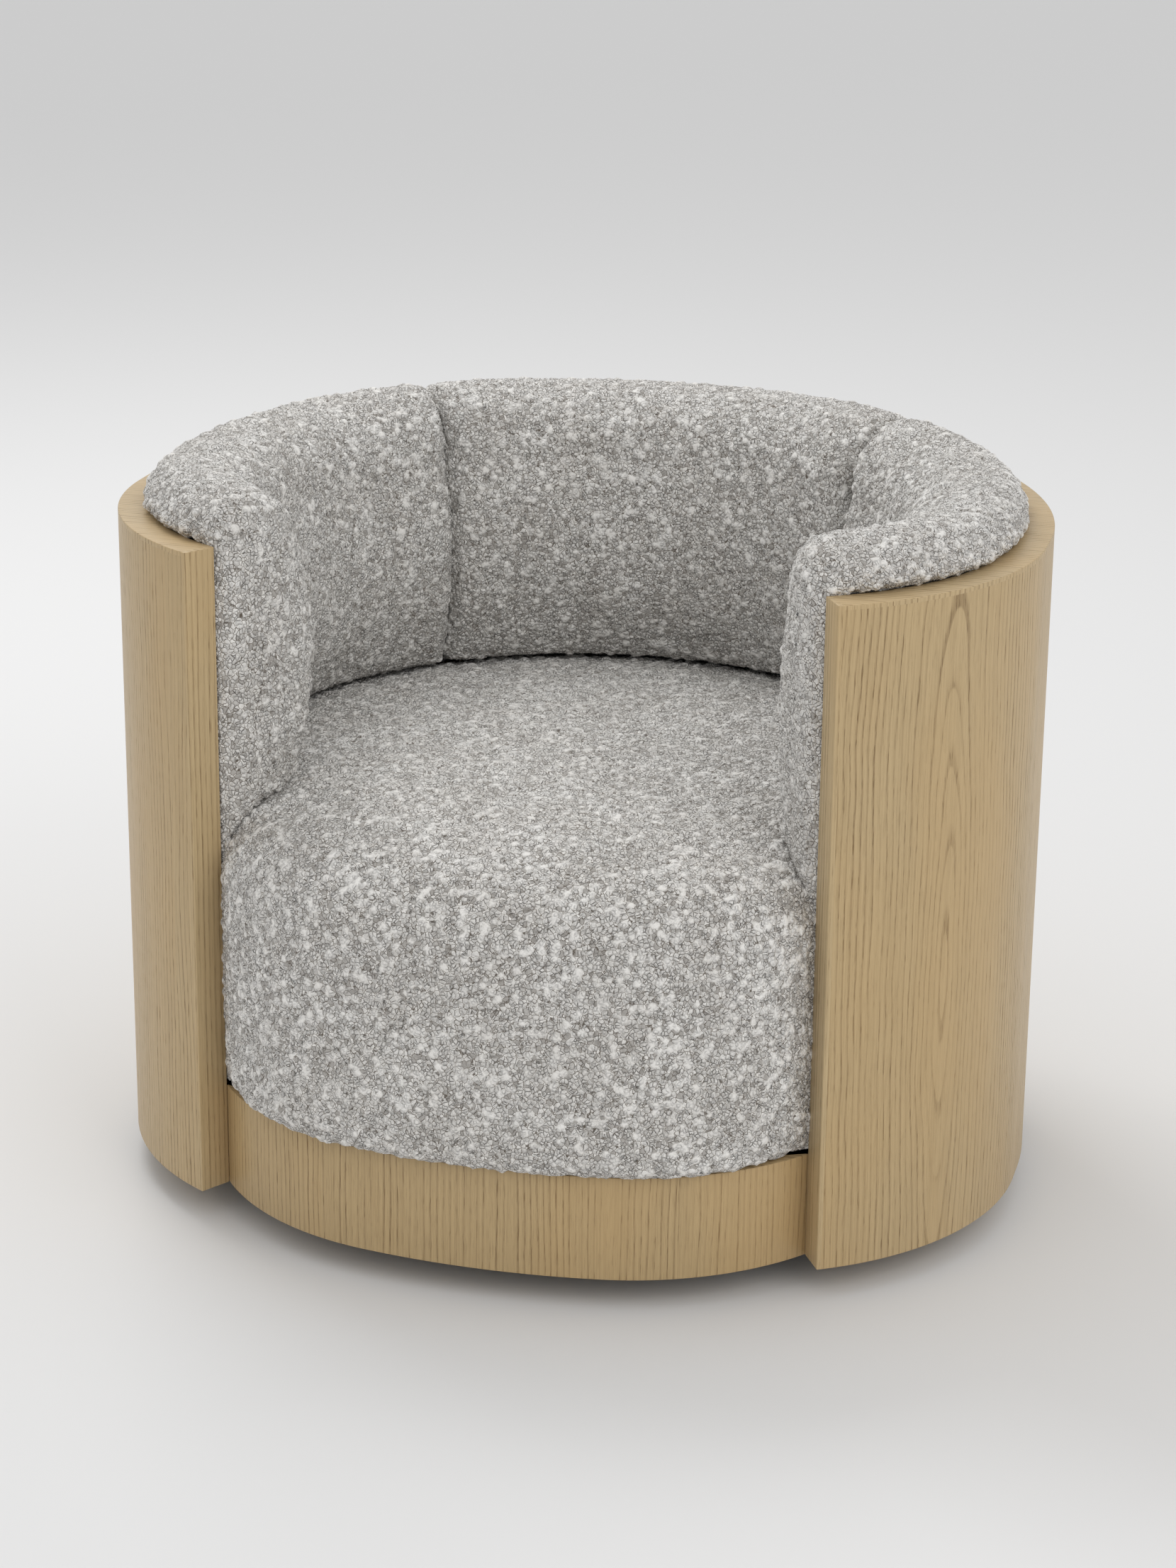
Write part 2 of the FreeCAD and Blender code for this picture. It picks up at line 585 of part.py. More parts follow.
def radial_box(name, inner, length, width, height, z, angle):
    """A box that points away from the back arc's centre, from the radius inner outwards."""
    x = f"({inner}) * cos({angle}) + ({width}) / 2 * sin({angle})"
    y = f"back_y + ({inner}) * sin({angle}) - ({width}) / 2 * cos({angle})"
    return box(name, length, width, height, x, y, z, str(angle))


def radial_cylinder(name, radius, inner, length, z, angle):
    """A cylinder that points away from the back arc's centre, lying level."""
    turn = math.radians(angle)
    obj = doc.addObject("Part::Cylinder", name)
    obj.setExpression("Radius", bound(radius))
    obj.setExpression("Height", bound(length))
    axis = FreeCAD.Vector(-math.sin(turn), math.cos(turn), 0)
    obj.Placement = FreeCAD.Placement(FreeCAD.Vector(), FreeCAD.Rotation(axis, 90))
    return place(obj, f"({inner}) * cos({angle})", f"back_y + ({inner}) * sin({angle})", z)


def make_brackets():
    """Angle brackets from the base board to the wall, and what their screws cut."""
    brackets, fixings, board_pilots, wall_pilots = [], [], [], []
    face = "inner_radius - 2 * fit_gap"
    foot_z = "board_top"
    for i, angle in enumerate(BRACKET_ANGLES, start=1):
        upright_inner = f"{face} - bracket_thick"
        foot = radial_box(f"foot_{i}", f"{face} - bracket_leg", "bracket_leg", "bracket_width",
                          "bracket_thick", foot_z, angle)
        upright = radial_box(f"upright_{i}", upright_inner, "bracket_thick", "bracket_width",
                             "bracket_leg", foot_z, angle)
        foot_r = f"({face} - bracket_hole)"
        x, y = f"{foot_r} * cos({angle})", f"back_y + {foot_r} * sin({angle})"
        screw_z = "board_top + bracket_hole"
        down_hole = cylinder(f"foot_hole_{i}", "bracket_screw + fit_gap", "bracket_thick", x, y, foot_z)
        out_hole = radial_cylinder(f"upright_hole_{i}", "bracket_screw + fit_gap", upright_inner,
                                   "bracket_thick", screw_z, angle)
        brackets.append(cut(f"bracket_{i}", fuse(f"bracket_solid_{i}", [foot, upright]),
                            group(f"bracket_holes_{i}", [down_hole, out_hole])))
        down_head = cylinder(f"down_head_{i}", "bracket_head", "bracket_head_height", x, y,
                             "board_top + bracket_thick")
        shank_length = "screw_bite + bracket_thick + bracket_head_height / 2"
        down_shank = cylinder(f"down_shank_{i}", "bracket_screw", shank_length, x, y, "board_top - screw_bite")
        out_head = radial_cylinder(f"out_head_{i}", "bracket_head", f"{upright_inner} - bracket_head_height",
                                   "bracket_head_height", screw_z, angle)
        shank_start = f"{upright_inner} - bracket_head_height / 2"
        out_shank = radial_cylinder(f"out_shank_{i}", "bracket_screw", shank_start, shank_length, screw_z, angle)
        fixings.append(fuse(f"down_screw_{i}", [down_head, down_shank]))
        fixings.append(fuse(f"out_screw_{i}", [out_head, out_shank]))
        pilot = "bracket_screw + pin_running_gap"
        board_pilots.append(cylinder(f"down_pilot_{i}", pilot, "screw_bite + screw_tip_gap", x, y,
                                     "board_top - screw_bite - screw_tip_gap"))
        wall_pilots.append(radial_cylinder(f"out_pilot_{i}", pilot, "inner_radius - screw_tip_gap",
                                           "screw_bite + 2 * screw_tip_gap", screw_z, angle))
    node(group("brackets", brackets), "shell_brackets")
    node(group("bracket_fixings", fixings), "bracket_screws")
    return board_pilots, wall_pilots


def make_base_board(pilots):
    blank = feature("board_blank", slab(PLINTH_BOW, n.plate_top, n.board_top, n.fit_gap,
                                         n.plinth_thick + n.fit_gap))
    bore = cylinder("board_bore_tool", "board_bore", "base_board_thick", z="plate_top")
    barrels = holes("board_tee_holes", PLATE_BOLTS, "plate_bolt_circle", PLATE_BOLT_START, "tee_barrel",
                    "plate_top", "base_board_thick")
    node(cut("board", blank, group("board_tools", [bore, barrels] + pilots)), "base_board")
    cover = feature("cover_blank", slab(PLINTH_BOW, n.plate_top - n.cover_thick, n.plate_top, n.cover_inset,
                                          n.plinth_thick + n.cover_inset))
    opening = cylinder("cover_opening", "plate_radius + fit_gap", "cover_thick", z="plate_top - cover_thick")
    node(cut("cover", cover, opening), "dust_cover")


def make_seat_frame():
    """Plywood box on the base board, webbing on top of it and a foam block on the webbing."""
    outer = n.rail_inset + n.fit_gap
    rim = slab(SEAT_BOW, n.board_top, n.rail_top, outer)
    core = slab(SEAT_BOW, n.board_top, n.rail_top, outer + n.rail_thick)
    half, back = n.rail_half_span, n.rail_back
    corner = FreeCAD.Vector(-half, n.back_y - n.outer_radius, 0)
    front = Part.makeBox(2 * half, n.outer_radius, n.rail_top, corner)
    node(feature("front_rail", rim.cut(core).common(front)), "seat_front_rail")
    for side, sign in SIDES:
        corner = FreeCAD.Vector(half - n.rail_thick if sign > 0 else -half, -n.outer_radius, 0)
        rail = Part.makeBox(n.rail_thick, back + n.outer_radius, n.rail_top, corner)
        node(feature(f"{side}_rail", rail.common(core)), f"seat_{side}_rail")
    between = "rail_half_span - rail_thick"
    node(box("back_rail", f"2 * ({between})", "rail_thick", "rail_top - board_top",
             f"-({between})", "rail_back - rail_thick", "board_top"), "seat_back_rail")
    make_corner_blocks(slab(SEAT_BOW, n.board_top, n.rail_top, outer + n.rail_thick + n.fit_gap))
    make_webbing(slab(SEAT_BOW, n.rail_top, n.webbing_top, outer))


def make_corner_blocks(limits):
    """A block in each corner of the frame. The front ones are cut to the curved front rail."""
    height = n.rail_top - n.board_top - n.block_size
    reach = n.outer_radius
    blocks = []
    for side, sign in SIDES:
        x = n.rail_half_span - n.rail_thick - n.block_size if sign > 0 else n.rail_thick - n.rail_half_span
        back = FreeCAD.Vector(x, n.rail_back - n.rail_thick - n.block_size, n.board_top)
        blocks.append(Part.makeBox(n.block_size, n.block_size, height, back))
        front = FreeCAD.Vector(x, n.back_y - n.block_back - reach, n.board_top)
        blocks.append(Part.makeBox(n.block_size, reach, height, front).common(limits))
    node(feature("blocks", Part.Compound(blocks)), "corner_blocks")


LONG_STRAPS = 5
CROSS_STRAPS = 5


def make_webbing(limits):
    half, back = n.rail_half_span, n.rail_back
    straps = []
    for i in range(LONG_STRAPS):
        middle = (i - (LONG_STRAPS - 1) / 2) * n.strap_pitch
        corner = FreeCAD.Vector(middle - n.webbing_width / 2, back - 2 * n.outer_radius, n.rail_top)
        strap = Part.makeBox(n.webbing_width, 2 * n.outer_radius, n.webbing_thick, corner)
        straps.append(strap.common(limits))
    front = n.back_y - n.cross_strap_front
    for i in range(CROSS_STRAPS):
        middle = front + (back - front - n.webbing_width) * i / (CROSS_STRAPS - 1)
        straps.append(Part.makeBox(2 * half, n.webbing_width, n.webbing_thick,
                                   FreeCAD.Vector(-half, middle, n.rail_top + n.webbing_thick + n.fit_gap)))
    node(feature("webbing", Part.Compound(straps)), "seat_webbing")
    node(feature("foam", slab(SEAT_BOW, n.webbing_top, n.foam_top, n.foam_inset)), "seat_foam")


# Soft parts

CROWN_STEPS = 12
CROWN_SQUARENESS = 0.62
FOOT_STEPS = 5
# Sizes of the dome's rings, as shares of the end of the rounded edge
DOME_RINGS = (0.85, 0.7, 0.55, 0.4, 0.25, 0.1)


def crown():
    """Shares of the rounded top's inset and height, from the edge to the flat of the crown."""
    turns = [math.pi / 2 * i / CROWN_STEPS for i in range(CROWN_STEPS + 1)]
    return [(1 - math.cos(turn), math.sin(turn) ** CROWN_SQUARENESS) for turn in turns]


def foot():
    """Shares of the rounded lower edge's inset and height, from the bottom up."""
    turns = [math.pi / 2 * i / FOOT_STEPS for i in range(FOOT_STEPS + 1)]
    return [(1 - math.sin(turn), 1 - math.cos(turn)) for turn in turns]


def seat_form(grow):
    """The seat's outer form, larger by grow all round."""
    inset = n.soft_gap - grow
    bottom = n.plinth_top + n.fit_gap - grow
    edge = n.seat_height - n.seat_edge_drop
    drop = n.seat_edge_drop - n.seat_dome + grow
    levels = [(bottom + up * n.seat_foot_round, inset + part * n.seat_foot_inset) for part, up in foot()]
    levels += [(edge + up * drop, inset + part * n.seat_crown_inset) for part, up in crown()]
    wires = [outline(z, SEAT_BOW, gap, gap - n.soft_gap) for z, gap in levels]
    middle = FreeCAD.Vector(0, n.back_y, edge + drop)
    for share in DOME_RINGS:
        ring_wire = wires[len(levels) - 1].scaled(share, middle)
        ring_wire.translate(FreeCAD.Vector(0, 0, n.seat_dome * (1 - share * share)))
        wires.append(ring_wire)
    return Part.makeLoft(wires, True, True)


def make_seat():
    cavity = slab(SEAT_BOW, n.plinth_top, n.foam_top + n.fit_gap, n.rail_inset)
    node(feature("seat", seat_form(0.0).cut(cavity)), "seat_cushion")


def station(along):
    """A point on the wall's inner face and the way into the tub, at a distance along it from straight back."""
    sign, run = (1.0, along) if along >= 0 else (-1.0, -along)
    quarter = n.inner_radius * math.pi / 2
    if run <= quarter:
        turn = math.pi / 2 - run / n.inner_radius
        out = (math.cos(turn), math.sin(turn))
        point = (n.inner_radius * out[0], n.back_y + n.inner_radius * out[1])
    elif run <= quarter + n.side_run:
        out = (1.0, 0.0)
        point = (n.inner_radius, n.back_y - (run - quarter))
    else:
        turn = (run - quarter - n.side_run) / n.inner_front
        out = (math.cos(turn), -math.sin(turn))
        point = (n.front_x + n.inner_front * out[0], n.side_y + n.inner_front * out[1])
    return (sign * point[0], point[1]), (-sign * out[0], -out[1])


# Shape of a pad's section. The shares named DEPTH and DROP are of pad_full and pad_rise, and those named DRAW
# say how much of a pad's drawing in reaches each point.
CREST_DEPTH, INNER_DEPTH, INNER_DROP = 0.46, 0.93, 0.6
SHOULDER_DRAW, CREST_DRAW, INNER_DRAW, FOOT_DRAW = (0.4, 0.08), (0.42, 0.45), (1.0, 0.3), 0.9
# Where the arcs through the shoulder, crest and inner points bulge to, as shares across and up between their ends
OUTER_BULGE, INNER_BULGE = (0.24, 0.7), (0.72, 0.3)


def pad_section(along, draw, back):
    """A pad's closed section across the wall, drawn in by draw, with its back at a distance from the wall."""
    point, inward = station(along)

    def at(depth, z):
        return FreeCAD.Vector(point[0] + inward[0] * depth, point[1] + inward[1] * depth, z)

    shoulder = (draw * SHOULDER_DRAW[0] - n.pad_overhang,
                n.wall_top + n.rim_shadow + n.shoulder_rise - draw * SHOULDER_DRAW[1])
    crest = (n.pad_full * CREST_DEPTH - draw * CREST_DRAW[0], n.wall_top + n.pad_rise - draw * CREST_DRAW[1])
    inner = (n.pad_full * INNER_DEPTH - draw * INNER_DRAW[0],
             n.wall_top - n.pad_rise * INNER_DROP - draw * INNER_DRAW[1])
    full = (n.pad_full - draw, (n.wall_top + n.seat_height) / 2)
    foot_in = (n.pad_foot - draw * FOOT_DRAW, n.pad_bottom)
    top_back = (back, n.wall_top + n.rim_shadow)

    def bulge(start, end, shares):
        return tuple(a + (b - a) * share for a, b, share in zip(start, end, shares))

    def line(a, b):
        return Part.LineSegment(at(*a), at(*b)).toShape()

    def arc(a, b, c):
        return Part.Arc(at(*a), at(*b), at(*c)).toShape()

    return Part.Wire([
        line((back, n.pad_bottom), top_back),
        line(top_back, shoulder),
        arc(shoulder, bulge(shoulder, crest, OUTER_BULGE), crest),
        arc(crest, bulge(crest, inner, INNER_BULGE), inner),
        arc(inner, full, foot_in),
        line(foot_in, (back, n.pad_bottom)),
    ])


# Shares of how far a pad draws in, at distances from its end as shares of the same measure
END_ROUND = ((0.0, 1.0), (0.12, 0.62), (0.35, 0.3), (0.7, 0.09), (1.2, 0.0))
PAD_STEP = 30.0
# How many of a nose's sections, from its end, lie ahead of the backing board and close on the wall
NOSE_SECTIONS = 3


def pad(start, end, start_draw, end_draw, nose_sections=0):
    """A pad between two distances along the wall, rounded at both ends."""
    gap = n.pad_back_gap
    stops = [(start + share * start_draw, draw * start_draw, gap) for share, draw in END_ROUND]
    last = [(end - share * end_draw, draw * end_draw, gap) for share, draw in reversed(END_ROUND)]
    for i in range(len(last) - nose_sections, len(last)):
        last[i] = last[i][:2] + (n.soft_gap,)
    span = last[0][0] - stops[-1][0]
    steps = max(1, round(span / PAD_STEP))
    stops += [(stops[-1][0] + span * i / steps, 0.0, gap) for i in range(1, steps)]
    return Part.makeLoft([pad_section(*stop) for stop in stops + last], True, True)


def make_pads():
    """Three pads that press on the seat's rounded edge, so the seat's form shapes their feet."""
    seam = n.inner_radius * math.radians(n.seam_angle)
    front = n.inner_radius * math.pi / 2 + n.side_run + n.inner_front * math.radians(n.front_sweep)
    nose = front + n.end_lip + n.nose_reach
    under = seat_form(n.soft_gap)
    side = pad(seam + n.seam_gap / 2, nose, n.seam_round, n.nose_round, NOSE_SECTIONS).cut(under)
    back = pad(-seam + n.seam_gap / 2, seam - n.seam_gap / 2, n.seam_round, n.seam_round).cut(under)
    node(feature("back_pad_form", back), "back_pad")
    node(feature("right_pad_form", side), "right_side_pad")
    mirrored = side.mirror(FreeCAD.Vector(0, 0, 0), FreeCAD.Vector(1, 0, 0))
    node(feature("left_pad_form", mirrored), "left_side_pad")


# Angles of the clips round the back arc, from the right-hand side: two for each pad
CLIP_ANGLES = (8, 40, 66, 114, 140, 172)


def make_boards():
    """A curved backing board behind each pad, hung on clips."""
    outer, inner = "wall + pad_board_inset", "wall + pad_board_inset + board_thick"
    height = "pad_board_top - board_bottom"
    back_sweep = "2 * (seam_angle - board_margin)"
    node(back_arc("back_board", outer, inner, "board_bottom", height,
                  "90 - seam_angle + board_margin", back_sweep), "back_pad_board")
    for side, sign in SIDES:
        start = "0" if sign > 0 else "90 + seam_angle + board_margin"
        pieces = [
            back_arc(f"{side}_board_back", outer, inner, "board_bottom", height, start,
                     "90 - seam_angle - board_margin"),
            side_box(f"{side}_board_side", sign, outer, inner, "board_bottom", height),
            front_arc(f"{side}_board_front", sign, outer, inner, "board_bottom", height, "0",
                      "front_sweep - board_end_angle"),
        ]
        node(fuse(f"{side}_board", pieces), f"{side}_pad_board")
    clips = []
    clip_outer, clip_inner = "wall + fit_gap", "wall + pad_board_inset - fit_gap"
    levels = (("low", "board_bottom + clip_edge"), ("high", "pad_board_top - clip_edge - clip_height"))
    for level, z in levels:
        for angle in CLIP_ANGLES:
            clips.append(back_arc(f"clip_{level}_{angle}", clip_outer, clip_inner, z, "clip_height",
                                  f"{angle} - clip_sweep / 2", "clip_sweep"))
        for side, sign in SIDES:
            clips.append(front_arc(f"clip_{level}_{side}", sign, clip_outer, clip_inner, z, "clip_height",
                                   "front_sweep / 2", "clip_sweep"))
    node(group("clips", clips), "pad_clips")


def check():
    doc.recompute()
    faults = []
    for obj in doc.Objects:
        if any(word in obj.State for word in ("Invalid", "Error")):
            faults.append(f"{obj.Name}: {obj.State}")
    for obj in NODES:
        shape = obj.Shape
        if shape.isNull() or not shape.isValid() or not shape.Solids:
            faults.append(f"{obj.Label}: shape is null, open or invalid")
    if faults:
        raise SystemExit("\n".join(faults))


def write():
    os.makedirs("parts", exist_ok=True)
    for obj in NODES:
        obj.Shape.exportStep(f"parts/{obj.Label}.step")
        limits = obj.Shape.BoundBox
        reach = [round(v, 1) for v in (limits.XMin, limits.YMin, limits.ZMin, limits.XMax, limits.YMax, limits.ZMax)]
        print(obj.Label, "solids", len(obj.Shape.Solids), "volume", round(obj.Shape.Volume / 1000, 1), "cm3", reach)


board_pilots, wall_pilots = make_brackets()
make_wall(wall_pilots)
make_plinth()
make_base_board(board_pilots)
make_seat_frame()
make_seat()
make_pads()
make_boards()
make_floor_base()
make_swivel()
check()
write()
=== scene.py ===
"""Looks of the tub chair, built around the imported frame. Metres, +Z up, the sitter faces -Y.

Left and right are as seen from the front.
"""
import json
import math

import bpy
import bmesh
import numpy as np
from mathutils import Matrix, Vector
from mathutils.kdtree import KDTree


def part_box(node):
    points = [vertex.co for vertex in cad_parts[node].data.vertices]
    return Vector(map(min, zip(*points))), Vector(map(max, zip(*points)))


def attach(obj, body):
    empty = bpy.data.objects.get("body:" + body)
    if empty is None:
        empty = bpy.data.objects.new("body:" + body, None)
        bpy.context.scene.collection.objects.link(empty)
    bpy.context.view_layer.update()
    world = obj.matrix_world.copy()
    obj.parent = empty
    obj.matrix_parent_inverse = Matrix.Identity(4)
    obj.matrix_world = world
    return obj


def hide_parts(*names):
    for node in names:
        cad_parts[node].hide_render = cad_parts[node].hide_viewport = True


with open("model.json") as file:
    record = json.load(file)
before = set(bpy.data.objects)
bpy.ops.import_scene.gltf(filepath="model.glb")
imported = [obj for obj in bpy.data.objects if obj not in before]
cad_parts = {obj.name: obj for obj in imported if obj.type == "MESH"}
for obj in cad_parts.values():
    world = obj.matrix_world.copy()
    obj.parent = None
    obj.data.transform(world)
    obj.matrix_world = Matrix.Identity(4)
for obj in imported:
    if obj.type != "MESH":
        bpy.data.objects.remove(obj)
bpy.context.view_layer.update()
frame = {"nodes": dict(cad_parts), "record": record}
NODES = frame["nodes"]
CHAIR = "chair_body"

# Sizes that the chair's pieces share, as in the CAD model
WALL_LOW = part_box("outer_shell")[0].z
WALL_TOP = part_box("rim_lipping")[1].z
RIM_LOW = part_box("rim_lipping")[0].z
OUTER_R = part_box("outer_shell")[1].x
BACK_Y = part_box("outer_shell")[1].y - OUTER_R
WALL = 0.030
SIDE_RUN = 0.024
FRONT_OUTER_R = 0.260
SWEEP = math.radians(59.0)
END_LIP = 0.004
INNER_R = OUTER_R - WALL
FRONT_R = FRONT_OUTER_R - WALL
FRONT_X = OUTER_R - FRONT_OUTER_R
SIDE_Y = BACK_Y - SIDE_RUN
QUARTER = INNER_R * math.pi / 2
WALL_RUN = QUARTER + SIDE_RUN + FRONT_R * SWEEP
ARRIS = 0.0009

PLINTH_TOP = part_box("front_plinth")[1].z
PLINTH_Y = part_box("front_plinth")[0].y
PLINTH_THICK = 0.018
BOW_R = 0.620
PLINTH_BEND_R = 0.238
SEAT_BEND_R = 0.190
SEAT_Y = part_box("seat_cushion")[0].y
# The seat's crown stands a little higher in the photograph than in its solid
SEAT_RISE = 0.007
SEAT_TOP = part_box("seat_cushion")[1].z + SEAT_RISE


# Plan geometry

def station(run):
    """A point on the wall's inner face and the way into the tub, at a distance from straight back."""
    sign, along = (1.0, run) if run >= 0 else (-1.0, -run)
    if along <= QUARTER:
        turn = math.pi / 2 - along / INNER_R
        out = (math.cos(turn), math.sin(turn))
        point = (INNER_R * out[0], BACK_Y + INNER_R * out[1])
    elif along <= QUARTER + SIDE_RUN:
        out = (1.0, 0.0)
        point = (INNER_R, BACK_Y - (along - QUARTER))
    else:
        turn = (along - QUARTER - SIDE_RUN) / FRONT_R
        out = (math.cos(turn), -math.sin(turn))
        point = (FRONT_X + FRONT_R * out[0], SIDE_Y + FRONT_R * out[1])
    return Vector((sign * point[0], point[1], 0)), Vector((-sign * out[0], -out[1], 0))


def polar(radius, turn, centre):
    return (centre[0] + radius * math.cos(turn), centre[1] + radius * math.sin(turn))


def bow(front_y, bend_r):
    """A front curve: the centre of its right-hand bend, the centre of its bow and the bow's half angle."""
    corner = polar(FRONT_R, -SWEEP, (FRONT_X, SIDE_Y))
    start = polar(END_LIP, -math.pi / 2 - SWEEP, corner)
    centre = (0.0, front_y + BOW_R)
    across, down = start[0], centre[1] - start[1]
    reach = math.hypot(across, down)
    arm = BOW_R - bend_r
    share = (arm * arm + reach * reach - bend_r ** 2) / (2 * arm * reach)
    half = math.atan2(across, down) - math.acos(share)
    return (arm * math.sin(half), centre[1] - arm * math.cos(half)), centre, half


def crossing(c1, r1, c2, r2):
    """The crossing of two circles that lies furthest forward, towards -Y."""
    dx, dy = c2[0] - c1[0], c2[1] - c1[1]
    gap = math.hypot(dx, dy)
    along = (r1 * r1 - r2 * r2 + gap * gap) / (2 * gap)
    aside = math.sqrt(max(r1 * r1 - along * along, 0.0))
    foot = (c1[0] + along * dx / gap, c1[1] + along * dy / gap)
    found = [(foot[0] + s * aside * dy / gap, foot[1] - s * aside * dx / gap) for s in (1, -1)]
    return min(found, key=lambda p: p[1])


def angle_at(centre, point):
    return math.atan2(point[1] - centre[1], point[0] - centre[0])


def front_half(shape, bend_r, wall_inset, inset, step):
    """Points of a front curve's right-hand half, from the wall to the middle line."""
    bend_centre, bow_centre, half = shape
    meet = crossing((FRONT_X, SIDE_Y), FRONT_R - wall_inset, bend_centre, bend_r - inset)
    start, end = angle_at(bend_centre, meet), half - math.pi / 2
    count = max(2, round(abs(end - start) * bend_r / step))
    points = [polar(bend_r - inset, start + (end - start) * i / count, bend_centre) for i in range(count)]
    count = max(2, round(half * BOW_R / step))
    points += [polar(BOW_R - inset, end - half * i / count, bow_centre) for i in range(count + 1)]
    return points


# Mesh helpers

def new_object(name, verts, faces):
    mesh = bpy.data.meshes.new(name)
    mesh.from_pydata([tuple(v) for v in verts], [], faces)
    mesh.validate()
    obj = bpy.data.objects.new(name, mesh)
    bpy.context.scene.collection.objects.link(obj)
    mesh.polygons.foreach_set("use_smooth", [True] * len(mesh.polygons))
    return obj


def quads_between(rings, size):
    """The faces between rings of size points each."""
    return [(i * size + k, i * size + (k + 1) % size, (i + 1) * size + (k + 1) % size, (i + 1) * size + k)
            for i in range(rings - 1) for k in range(size)]


def tube_faces(rings, size):
    """The faces between rings of size points each, and one over each end."""
    last = (rings - 1) * size
    return quads_between(rings, size) + [tuple(reversed(range(size))), tuple(range(last, last + size))]


def fix_normals(obj):
    bm = bmesh.new()
    bm.from_mesh(obj.data)
    bmesh.ops.recalc_face_normals(bm, faces=bm.faces)
    bm.to_mesh(obj.data)
    bm.free()


def finish_piece(obj, look, node):
    """Gives a piece its material and body, and puts it in the place of its CAD node, which it hides."""
    obj.data.materials.clear()
    obj.data.materials.append(look)
    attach(obj, CHAIR)
    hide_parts(node)


def apply_modifiers(obj):
    """Applies what the modifiers make, so that only the mesh is left."""
    graph = bpy.context.evaluated_depsgraph_get()
    mesh = bpy.data.meshes.new_from_object(obj.evaluated_get(graph))
    obj.modifiers.clear()
    obj.data = mesh


def coordinates(mesh):
    co = np.empty(len(mesh.vertices) * 3, np.float32)
    mesh.vertices.foreach_get("co", co)
    return co.reshape(-1, 3).astype(float)


def set_coordinates(mesh, co):
    mesh.vertices.foreach_set("co", co.astype(np.float32).ravel())
    mesh.update()


def normals_of(mesh):
    found = np.empty(len(mesh.vertices) * 3, np.float32)
    mesh.vertex_normals.foreach_get("vector", found)
    return found.reshape(-1, 3).astype(float)


# Node helpers

def material(name):
    mat = bpy.data.materials.new(name)
    mat.use_nodes = True
    return mat, Graph(mat.node_tree), mat.node_tree.nodes["Principled BSDF"]


class Graph:
    """Short ways to add and link shader nodes."""

    def __init__(self, tree):
        self.tree = tree

    def add(self, kind, **values):
        node = self.tree.nodes.new(kind)
        for name, value in values.items():
            setattr(node, name, value)
        return node

    def put(self, socket, value):
        if isinstance(value, bpy.types.NodeSocket):
            self.tree.links.new(value, socket)
        elif value is not None:
            socket.default_value = value

    def place(self):
        """The point in the object's own space."""
        return self.add("ShaderNodeTexCoord").outputs["Object"]

    def math(self, operation, a, b=None):
        node = self.add("ShaderNodeMath", operation=operation)
        self.put(node.inputs[0], a)
        self.put(node.inputs[1], b)
        return node.outputs[0]

    def times(self, a, b):
        return self.math("MULTIPLY", a, b)

    def plus(self, a, b):
        return self.math("ADD", a, b)

    def minus(self, a, b):
        return self.math("SUBTRACT", a, b)

    def root(self, a):
        return self.math("SQRT", a)

    def vector(self, x, y, z):
        node = self.add("ShaderNodeCombineXYZ")
        for socket, value in zip(node.inputs, (x, y, z)):
            self.put(socket, value)
        return node.outputs[0]

    def split(self, vector):
        node = self.add("ShaderNodeSeparateXYZ")
        self.put(node.inputs[0], vector)
        return node.outputs

    def noise(self, at, scale, detail=2.0, roughness=0.5):
        node = self.add("ShaderNodeTexNoise")
        self.put(node.inputs["Vector"], at)
        for name, value in (("Scale", scale), ("Detail", detail), ("Roughness", roughness)):
            self.put(node.inputs[name], value)
        return node.outputs["Fac"]

    def cells(self, at, scale, feature="F1"):
        node = self.add("ShaderNodeTexVoronoi", feature=feature)
        self.put(node.inputs["Vector"], at)
        self.put(node.inputs["Scale"], scale)
        return node.outputs

    def range(self, value, low, high, to_low=0.0, to_high=1.0):
        node = self.add("ShaderNodeMapRange", interpolation_type="SMOOTHSTEP")
        for socket, item in zip(node.inputs, (value, low, high, to_low, to_high)):
            self.put(socket, item)
        return node.outputs[0]

    def mix(self, share, a, b):
        node = self.add("ShaderNodeMix", data_type="RGBA")
        self.put(node.inputs["Factor"], share)
        for name, value in (("A", a), ("B", b)):
            socket = [s for s in node.inputs if s.name == name and s.type == "RGBA"][0]
            self.put(socket, (*value, 1.0) if isinstance(value, tuple) else value)
        return [s for s in node.outputs if s.type == "RGBA"][0]

    def bump(self, height, distance, strength=1.0):
        node = self.add("ShaderNodeBump")
        self.put(node.inputs["Height"], height)
        self.put(node.inputs["Distance"], distance)
        self.put(node.inputs["Strength"], strength)
        return node.outputs["Normal"]


def srgb(red, green, blue):
    """A colour given in 0 to 255 sRGB steps, as linear numbers."""
    linear_below = 10
    return tuple(((step / 255 + 0.055) / 1.055) ** 2.4 if step > linear_below else step / 255 / 12.92
                 for step in (red, green, blue))


# Materials

GRAIN_UV = "grain"
LEAF_WIDTH = 0.31
RING_WIDTH = 0.0056
ARCH_HEIGHT = 0.27
LOOPS_PER_METRE = 265.0
LOOP_DRIFT = 0.0045


